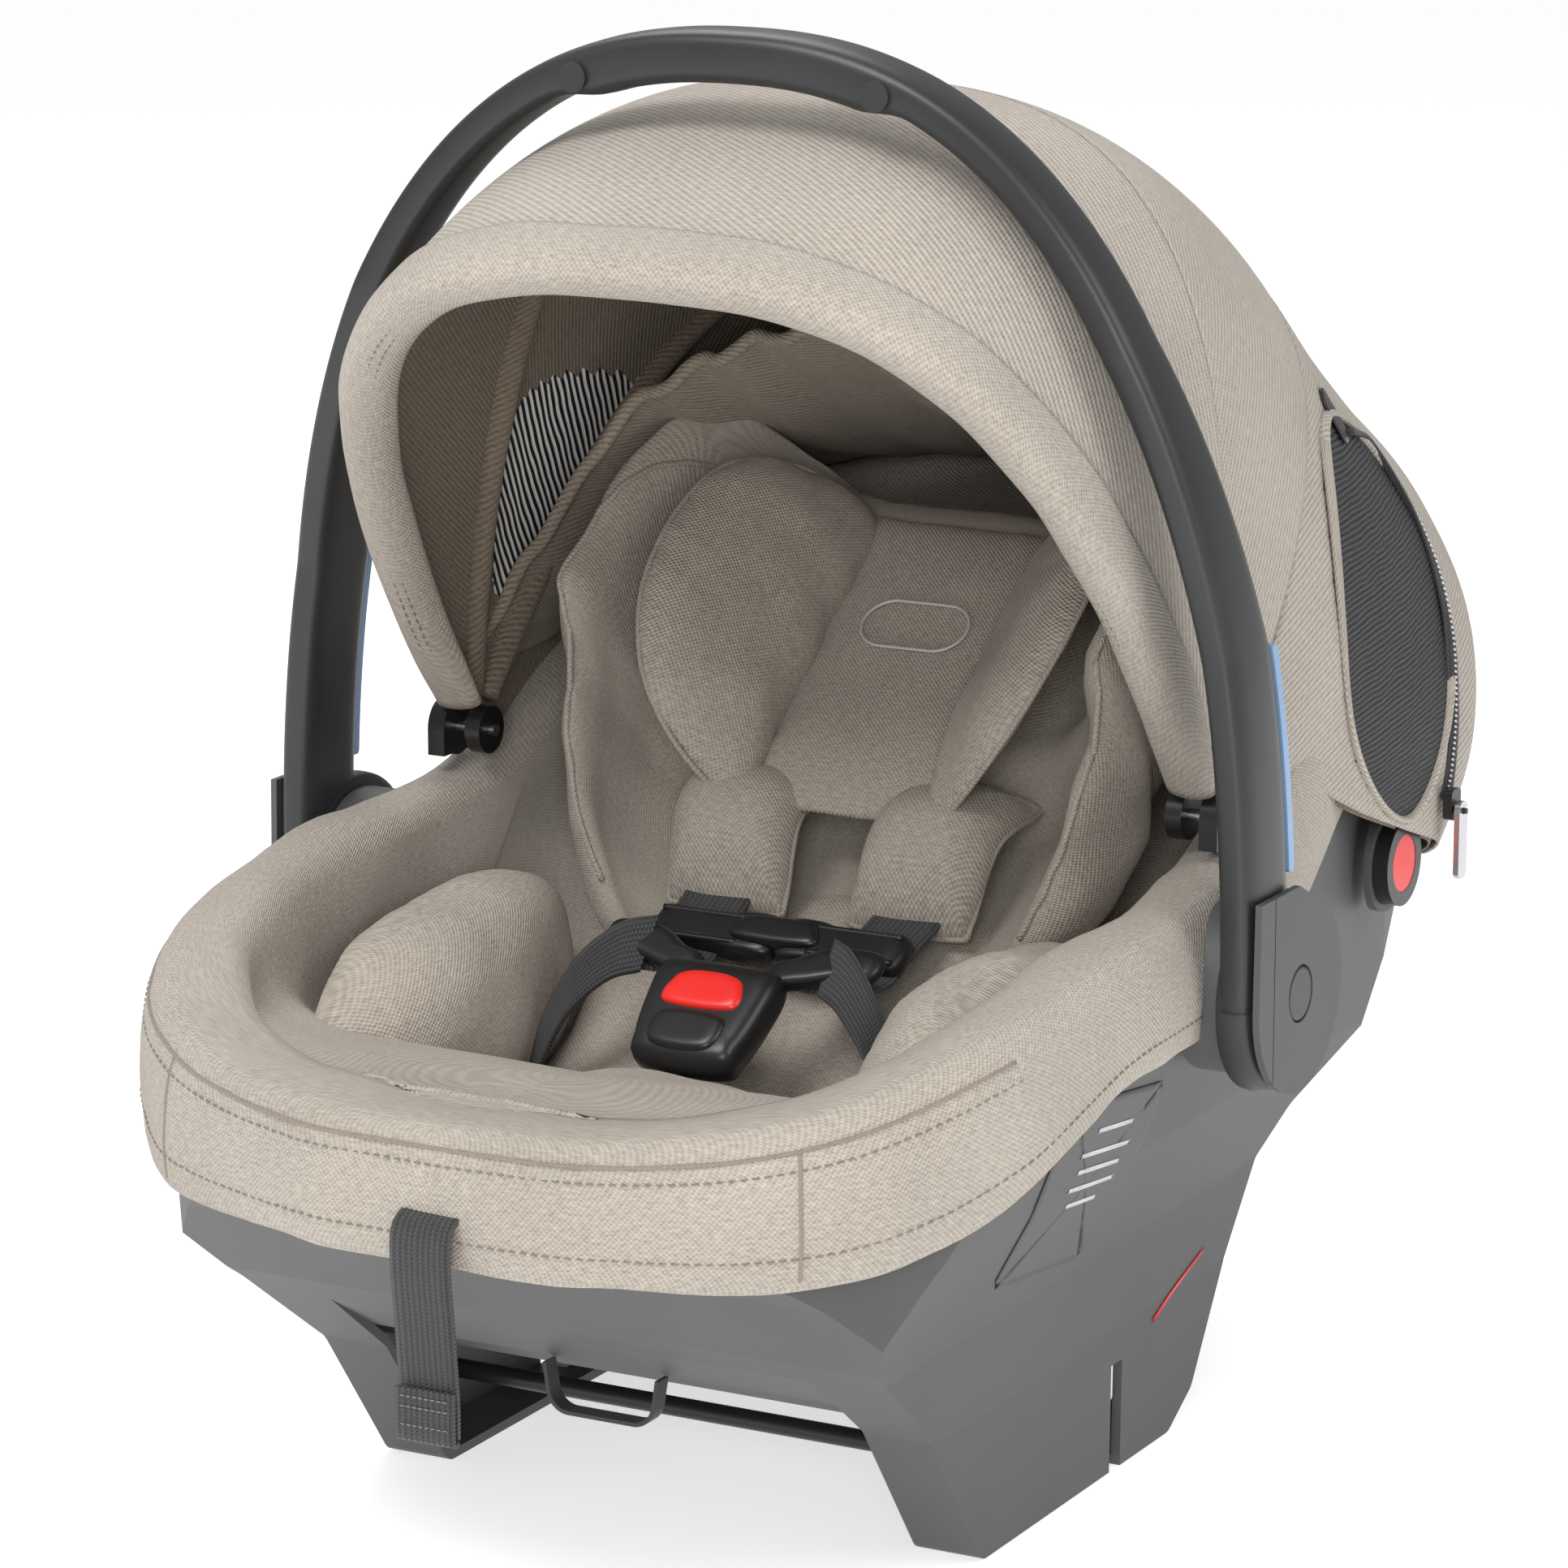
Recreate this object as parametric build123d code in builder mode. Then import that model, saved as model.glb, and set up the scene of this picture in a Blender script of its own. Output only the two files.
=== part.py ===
"""Rear-facing infant car seat: shell, carry handle, folding canopy, harness and soft goods.

Millimetres. +Z is up, -Y is the foot end, +Y the head end, and X = 0 is the plane of symmetry.
The origin is the middle of the footprint, on the surface the seat stands on.
"""

import os
from math import asin, cos, hypot, pi, radians, sin

from build123d import *

os.makedirs("parts", exist_ok=True)

SIDES = (("left", -1), ("right", 1))

# ---------------------------------------------------------------- driving dimensions
WALL = 4.0  # plastic wall of the shell
FOOT_Y = -322.0  # front face of the lip
HEAD_Y = 318.0  # rear face of the head end
RAIL_INNER = 106.0  # inner side of the two carrying rails under the shell

# layers inside the shell, measured in from its outer face
FOAM_OUTER = 4.6
FOAM_INNER = 18.0
COVER_OUTER = 18.6
COVER_INNER = 24.0
COVER_PROUD = 5.0  # how far the cover stands outside the shell below the rim
COVER_HEM = 50.0  # how far it hangs down there

# carry handle
PIVOT_Y, PIVOT_Z = -55.0, 215.0
HANDLE_OUT = 219.0  # outer face of the handle's legs
HANDLE_THICK = 14.0
HANDLE_CAP_R = 40.0
HANDLE_TOP = 577.0
HANDLE_POWER = 2.34  # of the superellipse that the arch follows
HUB_R = 34.0
PIN_R = 6.0
BUTTON_R = 11.0

# canopy
HINGE_Y, HINGE_Z = -28.0, 273.0
FRONT_ANGLE, MID_ANGLE, REAR_ANGLE = 55.0, 97.0, 133.0  # above horizontal, from the foot end
CANOPY_HALF, CANOPY_R = 173.0, 276.0
CANOPY_POWER = 3.0  # of the superellipse that the bows follow
FABRIC = 2.5
BOW = 7.0

# round side pods
POD_Y, POD_Z, POD_R = 140.0, 219.0, 18.0

# backrest
BACK_ANGLE = 37.0
BIGHT = (0, -110.0, 97.0)  # where seat and back meet, on the face of the cover
STRAP_X = 45.0  # middle of each shoulder strap
STRAP_W = 30.0
STRAP_T = 1.8

UP_BACK = (0, cos(radians(BACK_ANGLE)), sin(radians(BACK_ANGLE)))
OUT_OF_BACK = (0, -sin(radians(BACK_ANGLE)), cos(radians(BACK_ANGLE)))
BACK = Plane(origin=BIGHT, x_dir=(1, 0, 0), z_dir=OUT_OF_BACK)  # local x, distance up the back
BACK_SIDE = Plane(origin=BIGHT, x_dir=UP_BACK, z_dir=(1, 0, 0))  # up the back, out of the back

# ---------------------------------------------------------------- outlines
CROTCH_PAD = [(-158, 160), (-154, 126), (-206, 134), (-208, 146), (-170, 164)]
TOP = 620.0  # above everything, where an outline is left open upwards
SKIRT = [
    (FOOT_Y, TOP), (FOOT_Y, 170), (-285, 140), (-250, 105), (-195, 62), (-150, 0), (20, 0),
    (42, 13), (71, 59), (98, 122), (219, 188), (278, 259), (HEAD_Y, 335), (HEAD_Y, TOP),
]
PAN = [
    (FOOT_Y + 4, TOP + 20), (FOOT_Y + 4, 174), (-283, 144), (-234, 99), (-165, 56), (-112, 50),
    (-47, 108), (225, 318), (254, 341), (254, TOP + 20),
]
RIM = [
    (-345, 196), (-322, 198), (-290, 212), (-240, 230), (-160, 243), (-60, 248), (0, 258),
    (60, 290), (130, 318), (200, 334), (260, 341), (345, 329),
]
FRONT_HALF = [
    (134, -30), (135, 60), (141, 100), (166, 150), (183, 200), (184, 250), (180, 300), (160, 400),
    (160, TOP + 40),
]
PLAN_HALF = [
    (60, -325), (130, -294), (165, -252), (183, -195), (187, -130), (187, -55), (182, 10),
    (173, 90), (158, 180), (140, 250), (105, 305), (45, 322),
]
TENT = [
    (-200, 482), (150, 482), (307, 362), (336, 322), (320, 250), (252, 162), (-200, 60),
]
TENT_FRONT_HALF = [
    (190, 40), (191, 200), (192, 262), (190, 310), (177, 360), (152, 405), (118, 441),
    (75, 464), (28, 474),
]


def mirrored(half):
    """A closed outline from its right half, bottom to top."""
    return half + [(-x, y) for x, y in reversed(half)]


def prism(outline, plane, length, radius=9.0, grow=0.0):
    """An outline with rounded corners, extruded to both sides of its plane."""
    with BuildPart(mode=Mode.PRIVATE) as solid:
        with BuildSketch(plane):
            with BuildLine():
                FilletPolyline(*outline, radius=radius, close=True)
            make_face()
            if grow:
                offset(amount=grow, kind=Kind.ARC)
        extrude(amount=length, both=True)
    return solid.part


def tub(keel, inset, front=mirrored(FRONT_HALF), plan_grow=0.0):
    """The seat's form above a keel line, open at the top, shrunk by inset all round."""
    with BuildPart(mode=Mode.PRIVATE) as solid:
        add(prism(keel, Plane.YZ, 300, grow=-inset))
        add(prism(front, Plane.XZ, 500, grow=-inset), mode=Mode.INTERSECT)
        add(prism(mirrored(PLAN_HALF), Plane.XY, 700, grow=plan_grow - inset), mode=Mode.INTERSECT)
    return solid.part


def under_rim(raised):
    """Everything below the rim line, with that line raised."""
    line = [(y, z + raised) for y, z in RIM]
    return prism(line + [(345, -60), (-345, -60)], Plane.YZ, 320, radius=5.0)


def block(low, high):
    """A plain box between two corners, for cutting."""
    size = [abs(b - a) for a, b in zip(low, high)]
    middle = [(a + b) / 2 for a, b in zip(low, high)]
    return Pos(*middle) * Box(*size, mode=Mode.PRIVATE)


def on_back(x, t, n, size):
    """A plain box on the backrest, centred at x, t up the back and n out of it, for cutting."""
    return BACK.location * Pos(x, t, n) * Box(*size, mode=Mode.PRIVATE)


def rod_x(y, z, radius, low, high):
    """A plain rod along X between two places, for cutting."""
    rod = Cylinder(radius, abs(high - low), mode=Mode.PRIVATE)
    return Pos((low + high) / 2, y, z) * Rot(0, 90, 0) * rod


def bow_curve(half, reach, lowest, power):
    """A superellipse across the seat, from a height on the right to the same on the left."""
    first = asin((lowest / reach) ** (power / 2))
    steps = [first + (pi / 2 - first) * i / 8 for i in range(8)]
    right = [(half * cos(a) ** (2 / power), reach * sin(a) ** (2 / power)) for a in steps]
    return right + [(0, reach)] + [(-x, y) for x, y in reversed(right)]


def bow_face(plane, half, reach, thick, lowest, power):
    """The strip between two such curves, on a plane."""
    outer = bow_curve(half, reach, lowest, power)
    inner = bow_curve(half - thick, reach - thick, lowest, power)
    with BuildSketch(plane, mode=Mode.PRIVATE) as face:
        with BuildLine():
            Spline(*outer)
            Line(outer[-1], inner[-1])
            Spline(*inner)
            Line(inner[0], outer[0])
        make_face()
    return face.sketch


HULL = tub(SKIRT, 0)
HULL_PROUD = tub(SKIRT, -COVER_PROUD)
STRAP_SLOTS = [on_back(s * STRAP_X, 203, -5, (STRAP_W + 6, 9, 90)) for _, s in SIDES]
CROTCH_SLOT = block((-20, -156, 30), (20, -146, 110))
LIP_SLOT = block((-16, -345, 162), (16, -300, 175))
ADJUSTER_POCKET = block((-20, -307, 160), (20, -280, 196))

# ---------------------------------------------------------------- shell
# the pan that carries the child, and the roof of the recess behind it
with BuildPart(mode=Mode.PRIVATE) as pan:
    add(prism(PAN, Plane.YZ, 190))
    add(prism(PAN, Plane.YZ, 200, grow=-WALL), mode=Mode.SUBTRACT)
    with BuildSketch(Plane.YZ):
        with BuildLine():
            Polyline((196, 290), (262, 238), (268, 245), (205, 300), close=True)
        make_face()
    extrude(amount=RAIL_INNER + 2, both=True)
    add(tub(SKIRT, WALL / 2), mode=Mode.INTERSECT)

# flange that turns over the head end
with BuildPart(mode=Mode.PRIVATE) as flange:
    add(under_rim(0))
    add(under_rim(-WALL), mode=Mode.SUBTRACT)
    add(block((-200, 246, 300), (200, 320, 360)), mode=Mode.INTERSECT)
    add(tub(SKIRT, WALL / 2), mode=Mode.INTERSECT)

with BuildPart() as shell:
    add(HULL)
    add(tub(SKIRT, WALL), mode=Mode.SUBTRACT)
    # open tunnel between the rails, from the belly to the back
    with BuildSketch(Plane.YZ):
        with BuildLine():
            Polyline((-262, -20), (-262, 110), (-165, 50), (-112, 44), (-47, 102), (196, 290),
                     (262, 238), (262, -20), close=True)
        make_face()
    extrude(amount=RAIL_INNER, both=True, mode=Mode.SUBTRACT)
    add(pan.part)
    add(flange.part)
    add(under_rim(0), mode=Mode.INTERSECT)
    # harness slots, belt notches low in each side, and the bores of the handle's pins
    add(STRAP_SLOTS + [CROTCH_SLOT, LIP_SLOT], mode=Mode.SUBTRACT)
    for side, s in SIDES:
        add(block((s * 128 - 10, -36, -5), (s * 128 + 10, -26, 45)), mode=Mode.SUBTRACT)
        add(rod_x(PIVOT_Y, PIVOT_Z, PIN_R + 0.02, s * 192 - 20, s * 192 + 20), mode=Mode.SUBTRACT)
shell.part.label = "shell"
export_step(shell.part, "parts/shell.step")

# steel rods across the rails, which the vehicle base latches onto
with BuildPart() as latch_rods:
    for y, z in ((-128, 32), (18, 32)):
        add(rod_x(y, z, 4, -RAIL_INNER - 22, RAIL_INNER + 22))
latch_rods.part.label = "latch_rods"
export_step(latch_rods.part, "parts/latch_rods.step")

# ---------------------------------------------------------------- layers inside the shell
with BuildPart() as foam_liner:
    add(tub(PAN, FOAM_OUTER))
    add(tub(PAN, FOAM_INNER), mode=Mode.SUBTRACT)
    add(under_rim(-6), mode=Mode.INTERSECT)
    add(block((-200, -105, 0), (200, 400, 400)), mode=Mode.INTERSECT)
    add(STRAP_SLOTS, mode=Mode.SUBTRACT)
foam_liner.part.label = "foam_liner"
export_step(foam_liner.part, "parts/foam_liner.step")

with BuildPart(mode=Mode.PRIVATE) as cover_band:
    add(HULL_PROUD)
    add(tub(SKIRT, -0.5), mode=Mode.SUBTRACT)
    add(under_rim(-COVER_HEM), mode=Mode.SUBTRACT)
with BuildPart(mode=Mode.PRIVATE) as cover_cap:
    add(HULL_PROUD)
    add(tub(PAN, COVER_INNER), mode=Mode.SUBTRACT)
    add(under_rim(0.6), mode=Mode.SUBTRACT)
with BuildPart() as seat_cover:
    add(tub(PAN, COVER_OUTER))
    add(tub(PAN, COVER_INNER), mode=Mode.SUBTRACT)
    add(cover_band.part)
    add(cover_cap.part)
    add(under_rim(6), mode=Mode.INTERSECT)
    add(rod_x(PIVOT_Y, PIVOT_Z, HANDLE_CAP_R, 170, 240), mode=Mode.SUBTRACT)
    add(rod_x(PIVOT_Y, PIVOT_Z, HANDLE_CAP_R, -240, -170), mode=Mode.SUBTRACT)
    add(STRAP_SLOTS + [CROTCH_SLOT, LIP_SLOT, ADJUSTER_POCKET], mode=Mode.SUBTRACT)
seat_cover.part.label = "seat_cover"
export_step(seat_cover.part, "parts/seat_cover.step")

# padded insert on the seat and the back, as one folded cushion
with BuildPart() as body_insert:
    add(prism(PAN, Plane.YZ, 76, grow=-COVER_INNER - 0.6))
    add(prism(PAN, Plane.YZ, 90, grow=-COVER_INNER - 23), mode=Mode.SUBTRACT)
    add(block((-100, -235, 0), (100, 40, 234)), mode=Mode.INTERSECT)
    add(STRAP_SLOTS + [block((-20, -165, 30), (20, -140, 200))], mode=Mode.SUBTRACT)
    add(prism(CROTCH_PAD, Plane.YZ, 44, radius=4, grow=1), mode=Mode.SUBTRACT)
body_insert.part.label = "body_insert"
export_step(body_insert.part, "parts/body_insert.step")

for side, s in SIDES:
    with BuildPart() as hip_pad:
        with BuildSketch(Plane.YZ.offset(s * 104)):
            with BuildLine():
                FilletPolyline((-214, 192), (-150, 206), (-60, 196), (-48, 172), (-96, 116),
                               (-150, 112), (-208, 150), radius=12, close=True)
            make_face()
        extrude(amount=25, both=True)
        add(tub(PAN, COVER_INNER + 0.5), mode=Mode.INTERSECT)
    hip_pad.part.label = f"hip_pad_{side}"
    export_step(hip_pad.part, f"parts/hip_pad_{side}.step")

# ---------------------------------------------------------------- headrest, which slides up the back
HEADREST_LOW, HEADREST_TOP = 206.0, 325.0
WING_X, WING_N = 126.0, 145.0
with BuildPart() as head_support:
    with BuildSketch(BACK.offset(26)):
        with BuildLine():
            FilletPolyline((-WING_X, 150), (-112, 128), (-80, 132), (-76, HEADREST_LOW),
                           (76, HEADREST_LOW), (80, 132), (112, 128), (WING_X, 150), (WING_X, 290),
                           (84, HEADREST_TOP), (-84, HEADREST_TOP), (-WING_X, 290), radius=8,
                           close=True)
        make_face()
    extrude(amount=12)
    for side, s in SIDES:
        with BuildSketch(BACK_SIDE.offset(s * 113)):
            with BuildLine():
                FilletPolyline((134, 27), (150, 66), (180, 118), (216, WING_N), (284, WING_N),
                               (308, 112), (306, 60), (292, 27), radius=14, close=True)
            make_face()
        extrude(amount=13, both=True)
head_support.part.label = "head_support"
export_step(head_support.part, "parts/head_support.step")

with BuildPart() as head_pad:
    for low, high, outline in (
        (-50, 50, [(172, 60), (172, 71), (318, 75), (318, 38.6), (216, 38.6), (206, 60)]),
        (50, 99, [(172, 60), (180, 94), (215, 106), (288, 98), (316, 78), (318, 38.6),
                  (216, 38.6), (206, 60)]),
        (-99, -50, [(172, 60), (180, 94), (215, 106), (288, 98), (316, 78), (318, 38.6),
                    (216, 38.6), (206, 60)]),
    ):
        with BuildSketch(BACK_SIDE.offset(low)):
            with BuildLine():
                Polyline(*outline, close=True)
            make_face()
        extrude(amount=high - low)
head_pad.part.label = "head_pad"
export_step(head_pad.part, "parts/head_pad.step")

# ---------------------------------------------------------------- harness
YOKE_N = -40.0
CLIP_T, CLIP_N = 104.0, 63.5
for side, s in SIDES:
    with BuildPart() as shoulder_strap:
        with BuildSketch(BACK_SIDE.offset(s * STRAP_X)):
            with BuildLine():
                FilletPolyline((154, YOKE_N + 6), (203, YOKE_N + 6), (203, 43), (134, 43), (120, 56),
                               (84, 56), (66, 82), radius=4)
            trace(line_width=STRAP_T)
        extrude(amount=STRAP_W / 2, both=True)
    shoulder_strap.part.label = f"shoulder_strap_{side}"
    export_step(shoulder_strap.part, f"parts/shoulder_strap_{side}.step")

    with BuildPart() as shoulder_pad:
        with BuildSketch(BACK_SIDE.offset(s * STRAP_X)):
            with BuildLine():
                FilletPolyline((138, 44.2), (138, 57), (194, 57), (194, 44.2), radius=5,
                               close=True)
            make_face()
        extrude(amount=25, both=True)
        fillet(shoulder_pad.edges().group_by(Axis.X)[0], 3)
        fillet(shoulder_pad.edges().group_by(Axis.X)[-1], 3)
    shoulder_pad.part.label = f"shoulder_pad_{side}"
    export_step(shoulder_pad.part, f"parts/shoulder_pad_{side}.step")

    # half of the chest clip: a plate with a tongue on one side and a slot for it on the other
    with BuildPart() as chest_clip:
        add(on_back(s * 30.5, CLIP_T, CLIP_N, (59, 34, 11)))
        fillet(chest_clip.edges().filter_by(Axis(BIGHT, OUT_OF_BACK)), 8)
        add(on_back(s * 12, CLIP_T, CLIP_N + 3, (22, 20, 7)), mode=Mode.SUBTRACT)
        chamfer(chest_clip.faces().sort_by(Axis(BIGHT, OUT_OF_BACK))[-1].edges(), 1.2)
    chest_clip.part.label = f"chest_clip_{side}"
    export_step(chest_clip.part, f"parts/chest_clip_{side}.step")

with BuildPart() as chest_clip_button:
    add(on_back(0, CLIP_T, CLIP_N + 4.2, (40, 17, 4.6)))
    fillet(chest_clip_button.edges().filter_by(Axis(BIGHT, OUT_OF_BACK)), 5)
chest_clip_button.part.label = "chest_clip_button"
export_step(chest_clip_button.part, "parts/chest_clip_button.step")

with BuildPart() as lap_straps:
    for side, s in SIDES:
        with BuildSketch(Plane(origin=BACK.from_local_coords((0, 38, 0)), x_dir=(1, 0, 0),
                               z_dir=tuple(-c for c in UP_BACK))):
            with BuildLine():
                FilletPolyline((s * 47, 88), (s * 64, 74), (s * 70, 27), radius=5)
            trace(line_width=STRAP_T)
        extrude(amount=-24)
lap_straps.part.label = "lap_straps"
export_step(lap_straps.part, "parts/lap_straps.step")

BUCKLE_T, BUCKLE_N = 44.0, 88.0
with BuildPart() as buckle_body:
    add(on_back(0, BUCKLE_T, BUCKLE_N, (60, 52, 23)))
    fillet(buckle_body.edges().filter_by(Axis(BIGHT, OUT_OF_BACK)), 10)
    fillet(buckle_body.faces().sort_by(Axis(BIGHT, OUT_OF_BACK))[-1].edges(), 4)
    add(on_back(0, BUCKLE_T + 8, BUCKLE_N + 9, (33, 22, 16)), mode=Mode.SUBTRACT)
    add([on_back(s * 22, BUCKLE_T + 24, BUCKLE_N - 1, (17, 20, 4)) for _, s in SIDES],
        mode=Mode.SUBTRACT)
buckle_body.part.label = "buckle_body"
export_step(buckle_body.part, "parts/buckle_body.step")

with BuildPart() as buckle_button:
    add(on_back(0, BUCKLE_T + 8, BUCKLE_N + 9, (32.2, 21.2, 9)))
    fillet(buckle_button.faces().sort_by(Axis(BIGHT, OUT_OF_BACK))[-1].edges(), 2)
buckle_button.part.label = "buckle_button"
export_step(buckle_button.part, "parts/buckle_button.step")

with BuildPart() as buckle_tongues:
    for side, s in SIDES:
        add(on_back(s * 22, BUCKLE_T + 24, BUCKLE_N - 1, (15, 18, 3)))
        add(on_back(s * 32, BUCKLE_T + 36, BUCKLE_N - 1, (44, 14, 6)))
        add(on_back(s * 36, BUCKLE_T + 36, BUCKLE_N - 1, (33, 5, 9)), mode=Mode.SUBTRACT)
buckle_tongues.part.label = "buckle_tongues"
export_step(buckle_tongues.part, "parts/buckle_tongues.step")

CROTCH_ROUTE = [(-151, 42), (-151, 128), (-147.5, 170)]
with BuildPart() as crotch_strap:
    with BuildSketch(Plane.YZ):
        with BuildLine():
            FilletPolyline(*CROTCH_ROUTE, radius=20)
        trace(line_width=STRAP_T)
    extrude(amount=17, both=True)
crotch_strap.part.label = "crotch_strap"
export_step(crotch_strap.part, "parts/crotch_strap.step")

with BuildPart() as crotch_pad:
    add(prism(CROTCH_PAD, Plane.YZ, 42, radius=4))
    fillet(crotch_pad.edges().group_by(Axis.X)[0], 3)
    fillet(crotch_pad.edges().group_by(Axis.X)[-1], 3)
crotch_pad.part.label = "crotch_pad"
export_step(crotch_pad.part, "parts/crotch_pad.step")

# plate behind the back that joins both shoulder straps to the adjuster's single strap
with BuildPart() as harness_yoke:
    add(on_back(0, 146, YOKE_N + 6, (128, 16, 3)))
    fillet(harness_yoke.edges().filter_by(Axis(BIGHT, OUT_OF_BACK)), 5)
harness_yoke.part.label = "harness_yoke"
export_step(harness_yoke.part, "parts/harness_yoke.step")

ADJUSTER_Y = -296.0
with BuildPart() as adjuster_housing:
    add(block((-18, ADJUSTER_Y - 8, 168), (18, ADJUSTER_Y + 8, 194)))
    fillet(adjuster_housing.edges().filter_by(Axis.X), 3)
    add(block((-13, ADJUSTER_Y - 4, 173), (13, ADJUSTER_Y + 20, 200)), mode=Mode.SUBTRACT)
    add(block((-15, ADJUSTER_Y - 20, 169.5), (15, ADJUSTER_Y, 174)), mode=Mode.SUBTRACT)
adjuster_housing.part.label = "adjuster_housing"
export_step(adjuster_housing.part, "parts/adjuster_housing.step")

with BuildPart() as adjuster_lever:
    add(block((-12.4, ADJUSTER_Y + 3.4, 175), (12.4, ADJUSTER_Y + 12, 194)))
    fillet(adjuster_lever.edges().filter_by(Axis.X), 2)
adjuster_lever.part.label = "adjuster_lever"
export_step(adjuster_lever.part, "parts/adjuster_lever.step")

with BuildPart() as adjuster_strap:
    with BuildSketch(Plane.YZ):
        with BuildLine():
            FilletPolyline((ADJUSTER_Y - 1, 171.8), (-331, 168), (-333.5, 84), radius=5)
        trace(line_width=STRAP_T)
    extrude(amount=12.5, both=True)
adjuster_strap.part.label = "adjuster_strap"
export_step(adjuster_strap.part, "parts/adjuster_strap.step")

# ---------------------------------------------------------------- carry handle
HANDLE_SIDE = [
    (-95, 170), (-95, 350), (-108, 470), (-110, 600), (-82, 600), (-79, 470), (-55.2, 352),
    (-55.2, 170),
]


def arch(outer, inner, side):
    """A bow between two depths inside the handle's outer curve, cut to a side outline."""
    face = bow_face(Plane(origin=(0, 0, PIVOT_Z), x_dir=(1, 0, 0), z_dir=(0, -1, 0)),
                    HANDLE_OUT - outer, HANDLE_TOP - PIVOT_Z - outer, inner - outer, 0.5,
                    HANDLE_POWER)
    with BuildPart(mode=Mode.PRIVATE) as solid:
        extrude(face, amount=130)
        add(prism(side, Plane.YZ, 300, radius=1.5), mode=Mode.INTERSECT)
    return solid.part


with BuildPart() as handle_arch:
    add(arch(0, HANDLE_THICK, HANDLE_SIDE))
    for side, s in SIDES:
        add(rod_x(PIVOT_Y, PIVOT_Z, HANDLE_CAP_R, s * 206, s * 219))
        add(rod_x(PIVOT_Y, PIVOT_Z, PIN_R + 0.05, s * 200, s * 209.3), mode=Mode.SUBTRACT)
        add(rod_x(PIVOT_Y, PIVOT_Z, BUTTON_R + 0.4, s * 210.6, s * 225), mode=Mode.SUBTRACT)
handle_arch.part.label = "handle_arch"
export_step(handle_arch.part, "parts/handle_arch.step")

for side, s in SIDES:
    # trim panel over the outer face of each leg, with a parting line near its front edge
    with BuildPart() as handle_cover:
        with BuildSketch(Plane.YZ.offset(s * 219.3)):
            with Locations((PIVOT_Y, PIVOT_Z)):
                Circle(HANDLE_CAP_R - 1)
            with BuildLine():
                Polyline((-94, PIVOT_Z), (-93, 258), (-57, 258), (-30, PIVOT_Z + 29),
                         (-17, PIVOT_Z), close=True)
            make_face()
            with Locations((PIVOT_Y, PIVOT_Z)):
                Circle(BUTTON_R + 0.4, mode=Mode.SUBTRACT)
            with Locations((-80, PIVOT_Z)):
                Rectangle(0.8, 100, mode=Mode.SUBTRACT)
        extrude(amount=s * 2.7)
    handle_cover.part.label = f"handle_cover_{side}"
    export_step(handle_cover.part, f"parts/handle_cover_{side}.step")

    with BuildPart() as belt_guide:
        add(arch(2, HANDLE_THICK - 2, [(-54.9, 262), (-54.9, 350), (-50.2, 350), (-50.2, 262)]))
        add(block((s * 300, -100, 0), (0, 0, 600)), mode=Mode.INTERSECT)
    belt_guide.part.label = f"belt_guide_{side}"
    export_step(belt_guide.part, f"parts/belt_guide_{side}.step")

    # hub on the shell that the leg turns against
    with BuildPart() as handle_hub:
        add(rod_x(PIVOT_Y, PIVOT_Z, HUB_R, s * 184.4, s * 204.6))
        add(rod_x(PIVOT_Y, PIVOT_Z, PIN_R + 0.02, s * 180, s * 210), mode=Mode.SUBTRACT)
        chamfer(handle_hub.faces().sort_by(Axis.X)[-1 if s > 0 else 0].edges(), 1.5)
    handle_hub.part.label = f"handle_hub_{side}"
    export_step(handle_hub.part, f"parts/handle_hub_{side}.step")

    with BuildPart() as handle_button:
        add(rod_x(PIVOT_Y, PIVOT_Z, BUTTON_R, s * 214.8, s * 222))
        fillet(handle_button.faces().sort_by(Axis.X)[-1 if s > 0 else 0].edges(), 1.5)
    handle_button.part.label = f"handle_button_{side}"
    export_step(handle_button.part, f"parts/handle_button_{side}.step")

with BuildPart() as handle_pins:
    for side, s in SIDES:
        add(rod_x(PIVOT_Y, PIVOT_Z, PIN_R, s * 179, s * 209))
handle_pins.part.label = "handle_pins"
export_step(handle_pins.part, "parts/handle_pins.step")

# ---------------------------------------------------------------- canopy
HINGE = Axis((0, HINGE_Y, HINGE_Z), (-1, 0, 0))
KNUCKLE_R = 10.0
RIVET_R = 2.5


def hinge_plane(angle):
    """The half plane through the canopy's hinge line at an angle above horizontal."""
    a = radians(angle)
    return Plane(origin=(0, HINGE_Y, HINGE_Z), x_dir=(1, 0, 0), z_dir=(0, -sin(a), -cos(a)))


def bow(angle, half, reach, lowest=0.0):
    """A canopy bow: a flat strip bent to the canopy's section."""
    face = bow_face(hinge_plane(angle), half, reach, BOW, max(lowest, 6.0), CANOPY_POWER)
    with BuildPart(mode=Mode.PRIVATE) as solid:
        extrude(face, amount=BOW / 2, both=True)
    return solid.part


with BuildPart() as canopy_mid_bow:
    add(bow(MID_ANGLE, CANOPY_HALF - FABRIC - 0.5, CANOPY_R - FABRIC - 0.5))
    for side, s in SIDES:
        outer = s * (CANOPY_HALF - FABRIC - 0.5)
        add(rod_x(HINGE_Y, HINGE_Z, KNUCKLE_R, outer - s * BOW, outer))
        add(rod_x(HINGE_Y, HINGE_Z, RIVET_R + 0.05, outer - s * 20, outer + s * 10),
            mode=Mode.SUBTRACT)
canopy_mid_bow.part.label = "canopy_mid_bow"
export_step(canopy_mid_bow.part, "parts/canopy_mid_bow.step")

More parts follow.
